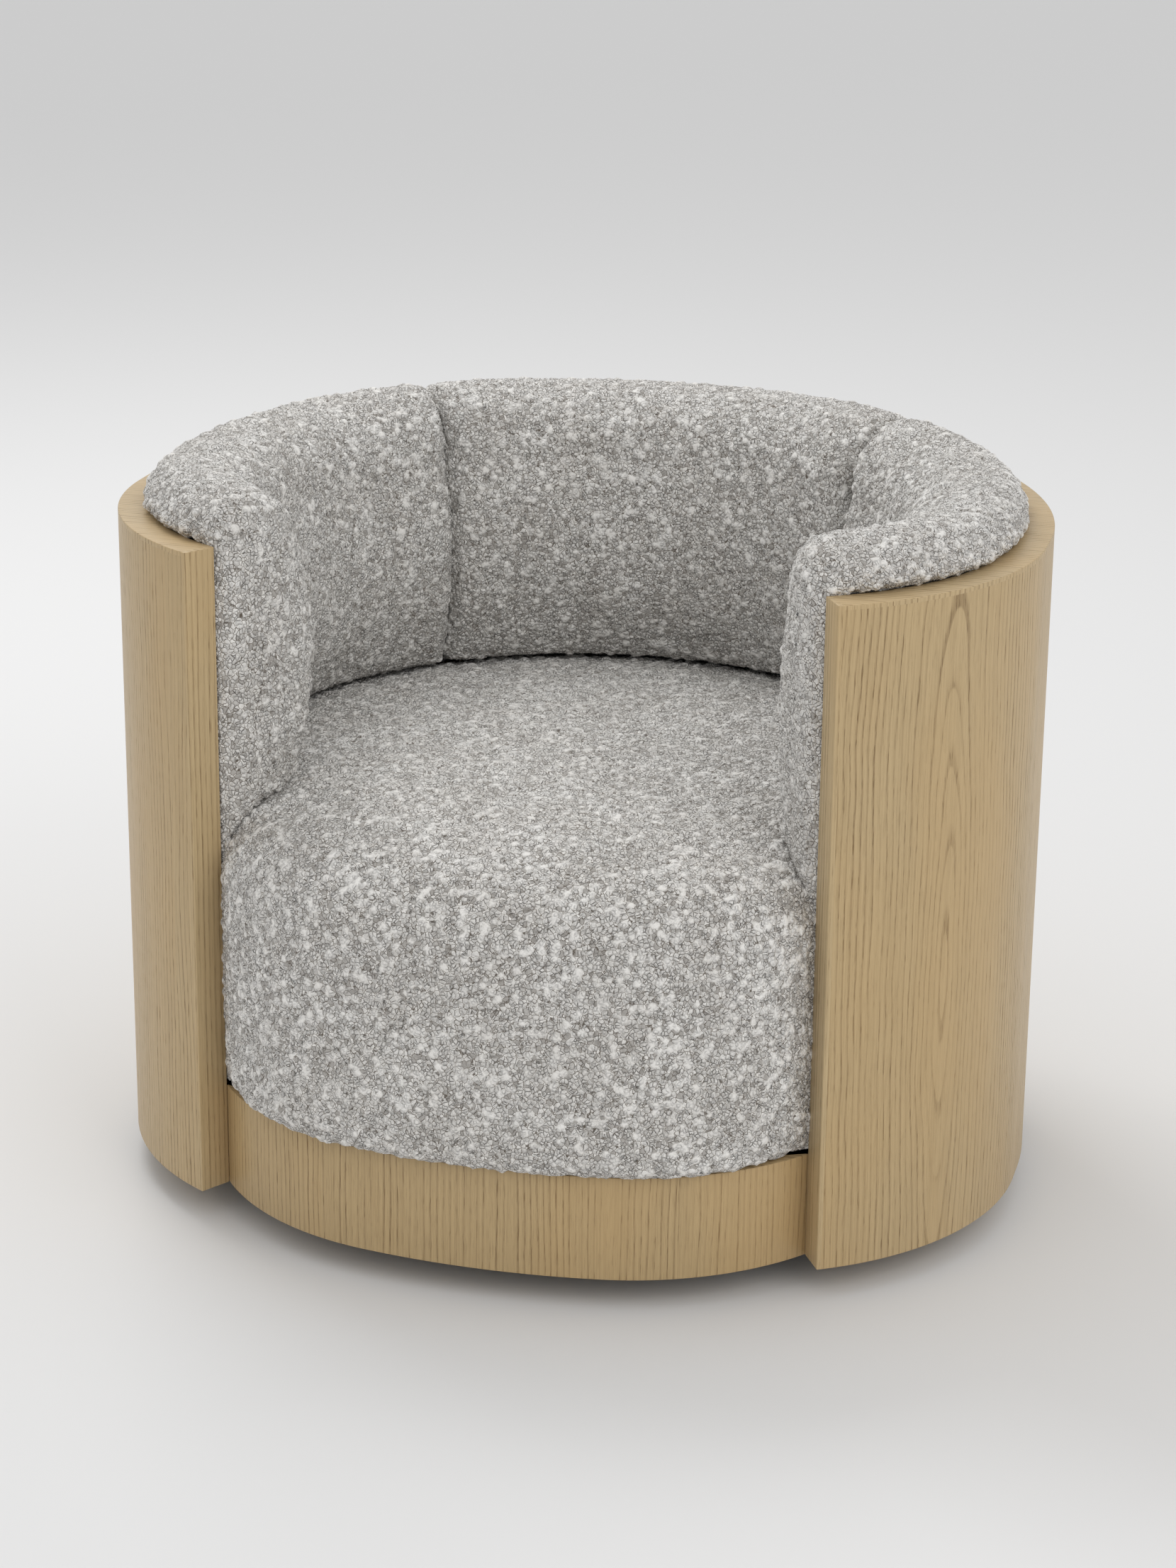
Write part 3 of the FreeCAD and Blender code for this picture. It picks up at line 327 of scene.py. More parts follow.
def oak(name, light, dark, figure=1.0, aside=0.0):
    """Plain-sliced oak veneer. The UV map is in metres: first across the grain, then along it.

    figure is how far the rings wander and open. aside moves the leaf off the log's middle, where the
    grain is straight."""
    mat, g, shader = material(name)
    across, along, _ = g.split(g.add("ShaderNodeUVMap", uv_map=GRAIN_UV).outputs[0])
    # Each veneer leaf is cut off the log's middle line, so its growth rings draw arches down its middle
    index = g.math("FLOOR", g.math("DIVIDE", across, LEAF_WIDTH))
    offset = g.minus(across, g.times(g.plus(index, 0.5), LEAF_WIDTH))
    seed = g.times(index, 7.31)

    def streaks(across_scale, along_scale, detail=2.0, roughness=0.5):
        at = g.vector(g.times(across, across_scale), g.times(along, along_scale), seed)
        return g.noise(at, 1.0, detail, roughness)

    wobble = g.times(g.minus(streaks(5.0, 2.2, 3.0, 0.55), 0.5), 0.034 * figure)
    shake = g.times(g.minus(streaks(60.0, 5.0), 0.5), 0.0032)
    side = g.plus(g.plus(g.plus(offset, wobble), shake), aside)
    rise = g.minus(along, ARCH_HEIGHT)
    open_by = g.root(g.plus(g.times(rise, rise), 0.0012))
    depth = g.plus(0.001, g.times(0.085 * figure, open_by))
    ring = g.root(g.plus(g.times(side, side), g.times(depth, depth)))
    phase = g.math("FRACT", g.math("DIVIDE", ring, RING_WIDTH))
    # Early wood: a narrow porous band at each ring's start, that fades into the late wood
    early = g.math("MAXIMUM", g.minus(1.0, g.range(phase, 0.0, 0.46)), g.range(phase, 0.93, 1.0))
    strength = g.noise(g.vector(g.times(ring, 190.0), g.times(along, 1.3), seed), 1.0)
    early = g.times(early, g.range(strength, 0.32, 0.68, 0.25, 1.0))
    pores = streaks(1500.0, 55.0, 2.0, 0.6)
    pore = g.times(g.range(pores, 0.53, 0.66), g.range(early, 0.1, 0.75, 0.22, 1.0))
    fibre = streaks(700.0, 9.0, 3.0, 0.6)
    cloud = streaks(9.0, 3.0)
    middle = tuple(0.42 * a + 0.58 * b for a, b in zip(light, dark))
    warm = tuple(a * b for a, b in zip(light, (1.02, 0.93, 0.80)))
    colour = g.mix(g.range(early, 0.0, 1.0, 0.0, 0.92), light, middle)
    colour = g.mix(g.range(fibre, 0.3, 0.75, 0.0, 0.38), colour, middle)
    colour = g.mix(g.times(pore, 0.88), colour, dark)
    colour = g.mix(g.range(cloud, 0.35, 0.7, 0.0, 0.4), colour, warm)
    g.put(shader.inputs["Base Color"], colour)
    g.put(shader.inputs["Roughness"], g.range(pore, 0.0, 1.0, 0.40, 0.62))
    height = g.minus(g.times(fibre, 0.25), pore)
    g.put(shader.inputs["Normal"], g.bump(height, 0.00022, 0.8))
    shader.inputs["Specular IOR Level"].default_value = 0.35
    return mat


def boucle(name):
    """Looped yarn: pale nubs over a dark ground. A point attribute is 1 on a slub's top and 0 in a crease,
    and its low values paint shade into the creases.
    """
    mat, g, shader = material(name)
    place = g.place()
    slub_and_crease_shade = g.add("ShaderNodeAttribute", attribute_name="slub_and_crease_shade").outputs["Fac"]
    # The loops' places are pushed about by a noise, so that they don't lie like cells
    wave = g.add("ShaderNodeTexNoise")
    g.put(wave.inputs["Vector"], place)
    g.put(wave.inputs["Scale"], 130.0)
    drift = g.add("ShaderNodeVectorMath", operation="MULTIPLY_ADD")
    for socket, value in zip(drift.inputs, (wave.outputs["Color"], (LOOP_DRIFT,) * 3, place)):
        g.put(socket, value)
    loops = g.cells(drift.outputs[0], LOOPS_PER_METRE)
    edges = g.cells(drift.outputs[0], LOOPS_PER_METRE, "DISTANCE_TO_EDGE")
    tint, depth, _ = g.split(loops["Color"])
    dome = g.range(loops["Distance"], 0.05, 0.75, 1.0, 0.0)
    # Painted shade: loops picked as sunk lie lower in the bump and are painted half way to the dark ground
    sunk_loop_shade = g.range(depth, 0.80, 0.92, 1.0, 0.5)
    raised = g.times(g.range(edges["Distance"], 0.0, 0.085), sunk_loop_shade)
    curl = g.noise(place, 750.0, 3.0, 0.7)
    slub = g.times(g.range(slub_and_crease_shade, 0.5, 0.85), g.range(curl, 0.3, 0.5, 0.8, 1.0))
    cover = g.times(raised, g.range(tint, 0.0, 1.0, 0.84, 1.0))
    # Painted shade: where the point attribute is low, in the creases between loops, less pale yarn shows and
    # the colour is darker
    cover = g.times(cover, g.range(slub_and_crease_shade, 0.16, 0.35, 0.36, 1.0))
    cover = g.math("MAXIMUM", cover, slub)
    cloud = g.noise(place, 24.0, 3.0, 0.55)
    pale = g.mix(g.range(cloud, 0.3, 0.7), srgb(245, 243, 239), srgb(235, 232, 227))
    g.put(shader.inputs["Base Color"], g.mix(cover, srgb(98, 89, 79), pale))
    shader.inputs["Roughness"].default_value = 0.95
    shader.inputs["Specular IOR Level"].default_value = 0.1
    shader.inputs["Sheen Weight"].default_value = 0.3
    shader.inputs["Sheen Roughness"].default_value = 0.5
    height = g.plus(g.times(dome, raised), g.times(curl, 0.3))
    g.put(shader.inputs["Normal"], g.bump(height, 0.0020))
    return mat


def steel(name, colour, rough):
    """Metal with fine brushing and faint smears."""
    mat, g, shader = material(name)
    place = g.place()
    smear = g.noise(place, 30.0, 3.0, 0.6)
    grind = g.noise(place, 1400.0, 2.0, 0.6)
    dark = tuple(v * 0.78 for v in colour)
    g.put(shader.inputs["Base Color"], g.mix(g.range(smear, 0.3, 0.7), colour, dark))
    g.put(shader.inputs["Roughness"], g.range(smear, 0.3, 0.7, rough, rough + 0.14))
    shader.inputs["Metallic"].default_value = 1.0
    g.put(shader.inputs["Normal"], g.bump(grind, 0.00004, 0.5))
    return mat


def coated(name, colour, rough, grain=0.00006):
    """Powder coat or moulded plastic: a fine even grain."""
    mat, g, shader = material(name)
    place = g.place()
    fleck = g.noise(place, 900.0, 2.0, 0.6)
    cloud = g.noise(place, 12.0, 3.0, 0.5)
    worn = tuple(min(1.0, v * 1.35 + 0.004) for v in colour)
    g.put(shader.inputs["Base Color"], g.mix(g.range(cloud, 0.35, 0.75, 0.0, 0.6), colour, worn))
    g.put(shader.inputs["Roughness"], g.range(fleck, 0.3, 0.7, rough - 0.06, rough + 0.08))
    g.put(shader.inputs["Normal"], g.bump(fleck, grain, 0.7))
    return mat


def plywood(name):
    """Birch plywood: pale, with a faint long figure."""
    mat, g, shader = material(name)
    x, y, z = g.split(g.place())
    stretched = g.vector(g.times(x, 90.0), g.times(y, 6.0), g.times(z, 12.0))
    figure = g.noise(stretched, 1.0, 4.0, 0.6)
    colour = g.mix(g.range(figure, 0.3, 0.7), srgb(222, 196, 154), srgb(196, 164, 118))
    g.put(shader.inputs["Base Color"], colour)
    shader.inputs["Roughness"].default_value = 0.62
    g.put(shader.inputs["Normal"], g.bump(figure, 0.0002, 0.5))
    return mat


def cloth(name, colour, second, scale, relief):
    """A plain woven or felted cloth, or cut foam, by the size of its cells."""
    mat, g, shader = material(name)
    place = g.place()
    fluff = g.noise(place, scale * 0.4, 3.0, 0.6)
    g.put(shader.inputs["Base Color"], g.mix(g.range(fluff, 0.3, 0.7), colour, second))
    shader.inputs["Roughness"].default_value = 0.92
    g.put(shader.inputs["Normal"], g.bump(g.cells(place, scale)["Distance"], relief, 0.8))
    return mat


OAK_FACE = oak("oak_veneer", srgb(194, 170, 129), srgb(118, 92, 58))
OAK_EDGE = oak("oak_lipping", srgb(197, 174, 134), srgb(122, 96, 62), 0.35, 0.4)
OAK_BAND = oak("oak_veneer_straight", srgb(190, 165, 123), srgb(115, 89, 56), 0.8, 0.5)
BOUCLE = boucle("boucle")
MATERIALS = {
    "oak_veneer": OAK_FACE,
    "oak_lipping": OAK_EDGE,
    "boucle": BOUCLE,
    "birch_ply": plywood("birch_ply"),
    "foam": cloth("foam", srgb(232, 220, 178), srgb(222, 207, 160), 900.0, 0.0008),
    "webbing": cloth("webbing", srgb(52, 48, 44), srgb(38, 35, 32), 700.0, 0.0005),
    "dust_cloth": cloth("dust_cloth", srgb(30, 30, 30), srgb(40, 40, 40), 800.0, 0.0003),
    "black_steel": coated("black_steel", srgb(34, 34, 35), 0.5),
    "zinc_steel": steel("zinc_steel", srgb(196, 198, 200), 0.32),
    "race_steel": steel("race_steel", srgb(178, 180, 182), 0.24),
    "bush_brass": steel("bush_brass", srgb(206, 172, 98), 0.3),
    "black_nylon": coated("black_nylon", srgb(30, 30, 31), 0.55, 0.0001),
    "white_nylon": coated("white_nylon", srgb(222, 222, 216), 0.45, 0.0001),
}


def dress_cad_nodes():
    """Every carried-over CAD node gets its slot's material."""
    slots = {row["node"]: row["material_slot"] for row in frame["record"]["subparts"]}
    for name, obj in NODES.items():
        slot = slots[name] if isinstance(slots[name], str) else slots[name][0]
        obj.data.materials.clear()
        obj.data.materials.append(MATERIALS[slot])


dress_cad_nodes()


# Oak pieces

WALL_STEP = 0.004
WALL_RUNS = list(np.linspace(-WALL_RUN, WALL_RUN, round(2 * WALL_RUN / WALL_STEP)))
PLINTH_STEP, PLINTH_STATIONS = 0.002, 221
# The plinth's ends stand this far off the wall's inner face
PLINTH_FIT = 0.0003
# The middle of a rounded corner stands back from the sharp corner by this share of its radius
CORNER_SHARE = 0.3
SHARP_ANGLE = math.radians(35.0)


def rounded_section(corners, radii, steps=3):
    """A closed section of (depth, height) points, with each corner rounded to its radius."""
    points = []
    count = len(corners)
    for i, (corner, radius) in enumerate(zip(corners, radii)):
        here = Vector(corner)
        before = (Vector(corners[i - 1]) - here).normalized()
        after = (Vector(corners[(i + 1) % count]) - here).normalized()
        if radius <= 0:
            points.append(tuple(here))
            continue
        centre = here + (before + after) * radius
        for k in range(steps + 1):
            turn = math.pi / 2 * k / steps
            points.append(tuple(centre - after * radius * math.cos(turn) - before * radius * math.sin(turn)))
    return points


def wood_uv(obj, run_of, shift=(0.0, 0.0)):
    """The grain map: across the grain, then along it. Sides have upright grain, level faces grain along X."""
    mesh = obj.data
    layer = mesh.uv_layers.new(name=GRAIN_UV)
    for face in mesh.polygons:
        level = abs(face.normal.z) > 0.7
        for loop in face.loop_indices:
            point = mesh.vertices[mesh.loops[loop].vertex_index].co
            if level:
                uv = (point.y, point.x)
            else:
                uv = (run_of(mesh.loops[loop].vertex_index), point.z)
            layer.data[loop].uv = (uv[0] + shift[0], uv[1] + shift[1])


def sweep_wall(name, section):
    """Sweeps a closed (depth, height) section along the wall. Depth is inwards from the wall's inner face.

    It also gives each point's distance along the outer face, for the grain map."""
    verts, run_at = [], []
    outer = 0.0
    last = None
    for run in WALL_RUNS:
        point, inward = station(run)
        edge = point - inward * WALL
        outer += (edge - last).length if last is not None else 0.0
        last = edge
        for depth, height in section:
            at = point + inward * depth
            verts.append((at.x, at.y, height))
            run_at.append(outer)
    obj = new_object(name, verts, tube_faces(len(WALL_RUNS), len(section)))
    fix_normals(obj)
    return obj, run_at


def sharpen(obj):
    """Smooth shading, with hard edges past an angle."""
    obj.data.set_sharp_from_angle(angle=SHARP_ANGLE)


def make_shell():
    """The veneered wall, and the lipping along its top edge."""
    corners = [(-WALL, WALL_LOW), (0, WALL_LOW), (0, RIM_LOW), (-WALL, RIM_LOW)]
    shell, run_at = sweep_wall("oak_shell", rounded_section(corners, (ARRIS, ARRIS, 0, 0)))
    wood_uv(shell, lambda i: run_at[i], (-0.025, 0.0))
    sharpen(shell)
    finish_piece(shell, OAK_FACE, "outer_shell")
    corners = [(-WALL, RIM_LOW), (0, RIM_LOW), (0, WALL_TOP), (-WALL, WALL_TOP)]
    rim, run_at = sweep_wall("oak_rim", rounded_section(corners, (0, 0, ARRIS, ARRIS)))
    wood_uv(rim, lambda i: run_at[i])
    sharpen(rim)
    finish_piece(rim, OAK_EDGE, "rim_lipping")


def make_end(side, sign, leaf):
    """The solid lipping on a square-cut front end, with its arrises eased. leaf shifts its grain."""
    point, inward = station(sign * WALL_RUN)
    ahead = Vector((inward.y, -inward.x, 0))
    if ahead.y > 0:
        ahead = -ahead
    bm = bmesh.new()
    corners = {}
    for a in (0, 1):
        for d in (0, 1):
            for z in (0, 1):
                at = point - inward * (WALL * d) + ahead * (END_LIP * a)
                corners[a, d, z] = bm.verts.new((at.x, at.y, WALL_TOP if z else WALL_LOW))
    quads = [((0, 0, 0), (0, 1, 0), (0, 1, 1), (0, 0, 1)), ((1, 0, 0), (1, 0, 1), (1, 1, 1), (1, 1, 0)),
             ((0, 0, 0), (0, 0, 1), (1, 0, 1), (1, 0, 0)), ((0, 1, 0), (1, 1, 0), (1, 1, 1), (0, 1, 1)),
             ((0, 0, 0), (1, 0, 0), (1, 1, 0), (0, 1, 0)), ((0, 0, 1), (0, 1, 1), (1, 1, 1), (1, 0, 1))]
    for quad in quads:
        bm.faces.new([corners[key] for key in quad])
    bmesh.ops.recalc_face_normals(bm, faces=bm.faces)
    back = {corners[0, d, z] for d in (0, 1) for z in (0, 1)}
    edges = [edge for edge in bm.edges if not (edge.verts[0] in back and edge.verts[1] in back)]
    bmesh.ops.bevel(bm, geom=edges, offset=ARRIS, segments=3, profile=0.5, affect="EDGES")
    end = new_object(f"oak_{side}_end", [], [])
    mesh = end.data
    bm.to_mesh(mesh)
    bm.free()
    mesh.polygons.foreach_set("use_smooth", [True] * len(mesh.polygons))

    def across(i):
        away = mesh.vertices[i].co - point
        return away.dot(inward) + away.dot(ahead)

    wood_uv(end, across, (leaf, 0.0))
    sharpen(end)
    finish_piece(end, OAK_EDGE, f"{side}_end_lipping")


def mirrored(points):
    """A right-hand half that ends on the middle line, and its mirror image after it."""
    return points + [(-x, y) for x, y in reversed(points[:-1])]


def evenly(points, count):
    """The same line with count points at even distances, and those distances."""
    line = np.array(points)
    steps = np.hypot(*np.diff(line, axis=0).T)
    length = np.concatenate([[0.0], np.cumsum(steps)])
    at = np.linspace(0, length[-1], count)
    return np.stack([np.interp(at, length, line[:, k]) for k in (0, 1)], axis=1), at


def make_plinth():
    """The bowed band under the seat, with its ends lying on the wall's inner face."""
    shape = bow(PLINTH_Y, PLINTH_BEND_R)

    def line(inset):
        half = front_half(shape, PLINTH_BEND_R, PLINTH_FIT, inset, PLINTH_STEP)
        return evenly(mirrored(half), PLINTH_STATIONS)

    outer, run = line(0.0)
    inner, _ = line(PLINTH_THICK)
    eased = ARRIS / PLINTH_THICK
    section = [(0, WALL_LOW + ARRIS), (eased * CORNER_SHARE, WALL_LOW + ARRIS * CORNER_SHARE),
               (eased, WALL_LOW), (1, WALL_LOW), (1, PLINTH_TOP), (eased, PLINTH_TOP),
               (eased * CORNER_SHARE, PLINTH_TOP - ARRIS * CORNER_SHARE), (0, PLINTH_TOP - ARRIS)]
    verts, run_at = [], []
    for i in range(PLINTH_STATIONS):
        for share, height in section:
            at = outer[i] * (1 - share) + inner[i] * share
            verts.append((at[0], at[1], height))
            run_at.append(run[i])
    plinth = new_object("oak_plinth", verts, tube_faces(PLINTH_STATIONS, len(section)))
    fix_normals(plinth)
    wood_uv(plinth, lambda i: run_at[i], (2.05, 0.4))
    sharpen(plinth)
    finish_piece(plinth, OAK_BAND, "front_plinth")


make_shell()
make_end("left", -1, leaf=0.53)
make_end("right", 1, leaf=1.27)
make_plinth()


# Upholstery forms, after the solids of the CAD model and the photograph

# The gaps from the seat to the wall and to the plinth
SOFT_GAP, SEAT_LIFT = 0.0008, 0.0003
CROWN_STEPS, CROWN_SQUARENESS, FOOT_STEPS, SIDE_STEPS = 16, 0.62, 6, 6
SEAT_EDGE_DROP, SEAT_DOME = 0.085, 0.008
FOOT_ROUND, FOOT_INSET, FOOT_SIDE = 0.024, 0.013, 0.15
FRONT_CROWN, SIDE_CROWN = 0.112, 0.072
# Points along the bow, the bend, the front wall curve, the straight side and the back, to the middle line
SEAT_COUNTS = (10, 24, 18, 3, 48)
SEAT_SHAPE = bow(SEAT_Y, SEAT_BEND_R)

SEAM = INNER_R * math.radians(41.0)
SEAM_GAP = 0.0012
NOSE = WALL_RUN + END_LIP + 0.014
# The crest's height over the rim, the rear face's distance from the wall and the foot's height
PAD_RISE, PAD_BACK, PAD_BOTTOM = 0.039, 0.014, 0.300
# The crest and the turn into the inner face lie at these shares of the depth, the turn a little below the rim
CREST_SHARE, TURN_SHARE, TURN_DROP = 0.46, 0.87, 0.018
# How much a pad's section is drawn in at a seam and at a nose, and its station step between them
SEAM_DRAW, NOSE_DRAW, PAD_STEP = 0.022, 0.050, 0.012
# Distances from the wall to a pad's fullest point and to its foot, straight back and at a nose
PAD_FULL, PAD_FOOT = (0.100, 0.112), (0.030, 0.050)
# A pad's overhang clears the rim by this much, and starts at this depth from the wall's inner face
RIM_CLEARANCE, PAD_LIP = 0.0042, -0.009

VOXEL = 0.005
SWELL_PRESSURE, SWELL_FRAMES, SWELL_CAP = 4.0, 20, 0.006
# While it swells, the cover is held below a height and close to the wall, and the hold fades out
SEAT_HELD_TOP, SEAT_HELD_DEPTH = 0.165, 0.02
PAD_HELD_TOP, PAD_HELD_DEPTH, PAD_FREE_RISE = 0.385, 0.034, 0.012
FADE_UP, FADE_IN = 0.03, 0.02
# A pad's inner face, which is smoothed after it, starts at this depth and height
FACE_DEPTH, FACE_LOW, FACE_FADE_IN, FACE_FADE_UP = 0.030, 0.42, 0.020, 0.04
# The parts of the covers that show, and get a finer mesh
SEAT_TOP_DEPTH, SEAT_TOP_LOW, SEAT_FRONT_Y, DOWNWARD = 0.05, 0.33, -0.215, -0.5
PAD_SHOWN_LOW, PAD_SHOWN_DEPTH = 0.31, 0.03


def seat_ring(inset, front_inset):
    """A level outline of the seat: the front curve's right half, the right-hand wall, then the other side."""
    bend_centre, bow_centre, half = SEAT_SHAPE
    meet = crossing((FRONT_X, SIDE_Y), FRONT_R - inset, bend_centre, SEAT_BEND_R - front_inset)
    start, end = angle_at(bend_centre, meet), half - math.pi / 2
    wall_turn = angle_at((FRONT_X, SIDE_Y), meet)
    on_bow, on_bend, on_front, on_side, on_back = SEAT_COUNTS

    def spread(centre, radius, a, b, count):
        return [polar(radius, a + (b - a) * i / count, centre) for i in range(count)]

    right = spread(bow_centre, BOW_R - front_inset, -math.pi / 2, end, on_bow)
    right += spread(bend_centre, SEAT_BEND_R - front_inset, end, start, on_bend)
    right += spread((FRONT_X, SIDE_Y), FRONT_R - inset, wall_turn, 0.0, on_front)
    side = INNER_R - inset
    right += [(side, SIDE_Y + SIDE_RUN * i / on_side) for i in range(on_side)]
    right += spread((0.0, BACK_Y), INNER_R - inset, 0.0, math.pi / 2, on_back)
    right.append((0.0, BACK_Y + INNER_R - inset))
    return right + [(-x, y) for x, y in reversed(right[1:-1])]


def seat_form(name):
    """The seat's closed form: a drawn-in foot, upright sides, a rounded edge and a shallow dome."""
    bottom = PLINTH_TOP + SEAT_LIFT
    edge = SEAT_TOP - SEAT_EDGE_DROP
    drop = SEAT_EDGE_DROP - SEAT_DOME
    # Each level is a height, the inset from the wall and the inset from the front curve
    levels = []
    for i in range(FOOT_STEPS + 1):
        turn = math.pi / 2 * i / FOOT_STEPS
        inset = (1 - math.sin(turn)) * FOOT_INSET
        levels.append((bottom + (1 - math.cos(turn)) * FOOT_ROUND, inset * FOOT_SIDE, inset))
    for k in range(1, SIDE_STEPS):
        levels.append((bottom + FOOT_ROUND + (edge - bottom - FOOT_ROUND) * k / SIDE_STEPS, 0.0, 0.0))
    for i in range(CROWN_STEPS + 1):
        turn = math.pi / 2 * i / CROWN_STEPS
        part = 1 - math.cos(turn)
        height = edge + math.sin(turn) ** CROWN_SQUARENESS * drop
        levels.append((height, part * SIDE_CROWN, part * FRONT_CROWN))
    rings = [[(x, y, z) for x, y in seat_ring(SOFT_GAP + side, front)] for z, side, front in levels]
    top = rings[-1]
    for share in (0.85, 0.7, 0.55, 0.4, 0.25, 0.1):
        rise = SEAT_DOME * (1 - share * share)
        rings.append([(x * share, BACK_Y + (y - BACK_Y) * share, z + rise) for x, y, z in top])
    size = len(top)
    verts = [point for ring in rings for point in ring]
    verts += [(0.0, BACK_Y, bottom), (0.0, BACK_Y, edge + drop + SEAT_DOME)]
    low, high = len(verts) - 2, len(verts) - 1
    last = (len(rings) - 1) * size
    faces = quads_between(len(rings), size)
    faces += [(low, (k + 1) % size, k) for k in range(size)]
    faces += [(last + k, last + (k + 1) % size, high) for k in range(size)]
    obj = new_object(name, verts, faces)
    fix_normals(obj)
    return obj


def arc_through(a, b, c, count):
    """Points of the circle through three points, from a towards c, without c."""
    (ax, ay), (bx, by), (cx, cy) = a, b, c
    a_square, b_square, c_square = (x * x + y * y for x, y in (a, b, c))
    twice = 2 * (ax * (by - cy) + bx * (cy - ay) + cx * (ay - by))
    ux = (a_square * (by - cy) + b_square * (cy - ay) + c_square * (ay - by)) / twice
    uy = (a_square * (cx - bx) + b_square * (ax - cx) + c_square * (bx - ax)) / twice
    radius = math.hypot(ax - ux, ay - uy)
    start, middle, end = (math.atan2(y - uy, x - ux) for x, y in (a, b, c))
    middle = start + (middle - start + math.pi) % (2 * math.pi) - math.pi
    end = start + (end - start + math.pi) % (2 * math.pi) - math.pi
    if (middle - start) * (end - start) < 0:
        end += 2 * math.pi if middle > start else -2 * math.pi
    return [(ux + radius * math.cos(start + (end - start) * i / count),
             uy + radius * math.sin(start + (end - start) * i / count)) for i in range(count)]


def between(a, b, count):
    """Points of the straight line from a towards b, without b."""
    return [(a[0] + (b[0] - a[0]) * i / count, a[1] + (b[1] - a[1]) * i / count) for i in range(count)]


def pad_section(run, draw, back, lip):
    """A pad's closed section as (depth from the wall's inner face, height) points, drawn in by draw.

    back is where its rear face stands, and lip is where its shoulder starts."""
    share = max(0.0, min(1.0, (abs(run) - SEAM) / (NOSE - SEAM)))
    most, least = (a + (b - a) * share for a, b in (PAD_FULL, PAD_FOOT))
    shoulder = (lip, WALL_TOP + RIM_CLEARANCE - draw * 0.05)
    crest = (max(most * CREST_SHARE - draw * 0.42, lip + 0.012), WALL_TOP + PAD_RISE - draw * 0.45)
    inner = (most * TURN_SHARE - draw, WALL_TOP - TURN_DROP - draw * 0.3)
    full = (most - draw, (WALL_TOP + SEAT_TOP) / 2)
    foot = (max(least - draw * 0.7, back + 0.008), PAD_BOTTOM)
    top_back = (max(back, lip + 0.001), WALL_TOP - 0.003)

    def bulge(a, b, shares):
        return tuple(p + (q - p) * part for p, q, part in zip(a, b, shares))

    points = between((back, PAD_BOTTOM), (back, top_back[1]), 12)
    points += between(top_back, shoulder, 3)
    points += arc_through(shoulder, bulge(shoulder, crest, (0.24, 0.7)), crest, 8)
    points += arc_through(crest, bulge(crest, inner, (0.72, 0.3)), inner, 10)
    points += arc_through(inner, full, foot, 16)
    points += between(foot, (back, PAD_BOTTOM), 5)
    return points


def nose_edge(behind, back, lip):
    """A nose's rear face and shoulder, as distances from the wall, at a distance behind its tip."""
    if behind < 0.034:
        back = float(np.interp(behind, (0.0, 0.003, 0.007, 0.012, 0.018),
                               (0.020, 0.012, 0.006, 0.002, SOFT_GAP)))
    if behind < 0.060:
        lip = float(np.interp(behind, (0.0, 0.004, 0.010, 0.018, 0.032, 0.060),
                              (0.022, 0.012, 0.005, 0.0, -0.005, PAD_LIP)))
    return back, lip


def pad_form(name, start, end, end_draw, nose=False):
    """A pad's closed form between two distances along the wall, rounded at both ends."""
    shares = (0.0, 0.03, 0.07, 0.12, 0.18, 0.26, 0.36, 0.48, 0.62, 0.78, 0.92, 1.05)

    def draw_at(share):
        return 1 - math.sqrt(1 - (1 - min(share / shares[-1], 1.0)) ** 2)

    def stop(run, draw):
        return run, draw, PAD_BACK, draw * 0.4 + PAD_LIP

    stops = [stop(start + s * SEAM_DRAW, draw_at(s) * SEAM_DRAW) for s in shares]
    last = [stop(end - s * end_draw, draw_at(s) * end_draw) for s in reversed(shares)]
    span = last[0][0] - stops[-1][0]
    steps = max(1, round(span / PAD_STEP))
    stops += [stop(stops[-1][0] + span * i / steps, 0.0) for i in range(1, steps)]
    stops += last
    if nose:
        stops = [(run, draw, *nose_edge(end - run, back, lip)) for run, draw, back, lip in stops]
    verts = []
    for run, draw, back, lip in stops:
        point, inward = station(run)
        verts += [(*(point + inward * depth).xy, z) for depth, z in pad_section(run, draw, back, lip)]
    obj = new_object(name, verts, tube_faces(len(stops), len(verts) // len(stops)))
    bm = bmesh.new()
    bm.from_mesh(obj.data)
    bmesh.ops.triangulate(bm, faces=[f for f in bm.faces if len(f.verts) > 4])
    bmesh.ops.recalc_face_normals(bm, faces=bm.faces)
    bm.to_mesh(obj.data)
    bm.free()
    return obj


def mirror_x(obj, name):
    twin = obj.copy()
    twin.data = obj.data.copy()
    twin.name = name
    bpy.context.scene.collection.objects.link(twin)
    twin.data.transform(Matrix.Scale(-1, 4, (1, 0, 0)))
    twin.data.flip_normals()
    return twin


def remesh(obj):
    modifier = obj.modifiers.new("even", "REMESH")
    modifier.mode = "VOXEL"
    modifier.voxel_size = VOXEL
    modifier.use_smooth_shade = True
    apply_modifiers(obj)


def subtract(obj, tool):
    modifier = obj.modifiers.new("cut", "BOOLEAN")
    modifier.operation = "DIFFERENCE"
    modifier.solver = "EXACT"
    modifier.object = tool
    apply_modifiers(obj)


def relax(obj, repeat, share=None):
    """Smooths a mesh, all over or by share(points), which gives 0 to 1 for each point."""
    before = coordinates(obj.data)
    modifier = obj.modifiers.new("relax", "SMOOTH")
    modifier.factor = 0.5
    modifier.iterations = repeat
    apply_modifiers(obj)
    if share:
        moved = coordinates(obj.data) - before
        set_coordinates(obj.data, before + moved * share(before)[:, None])


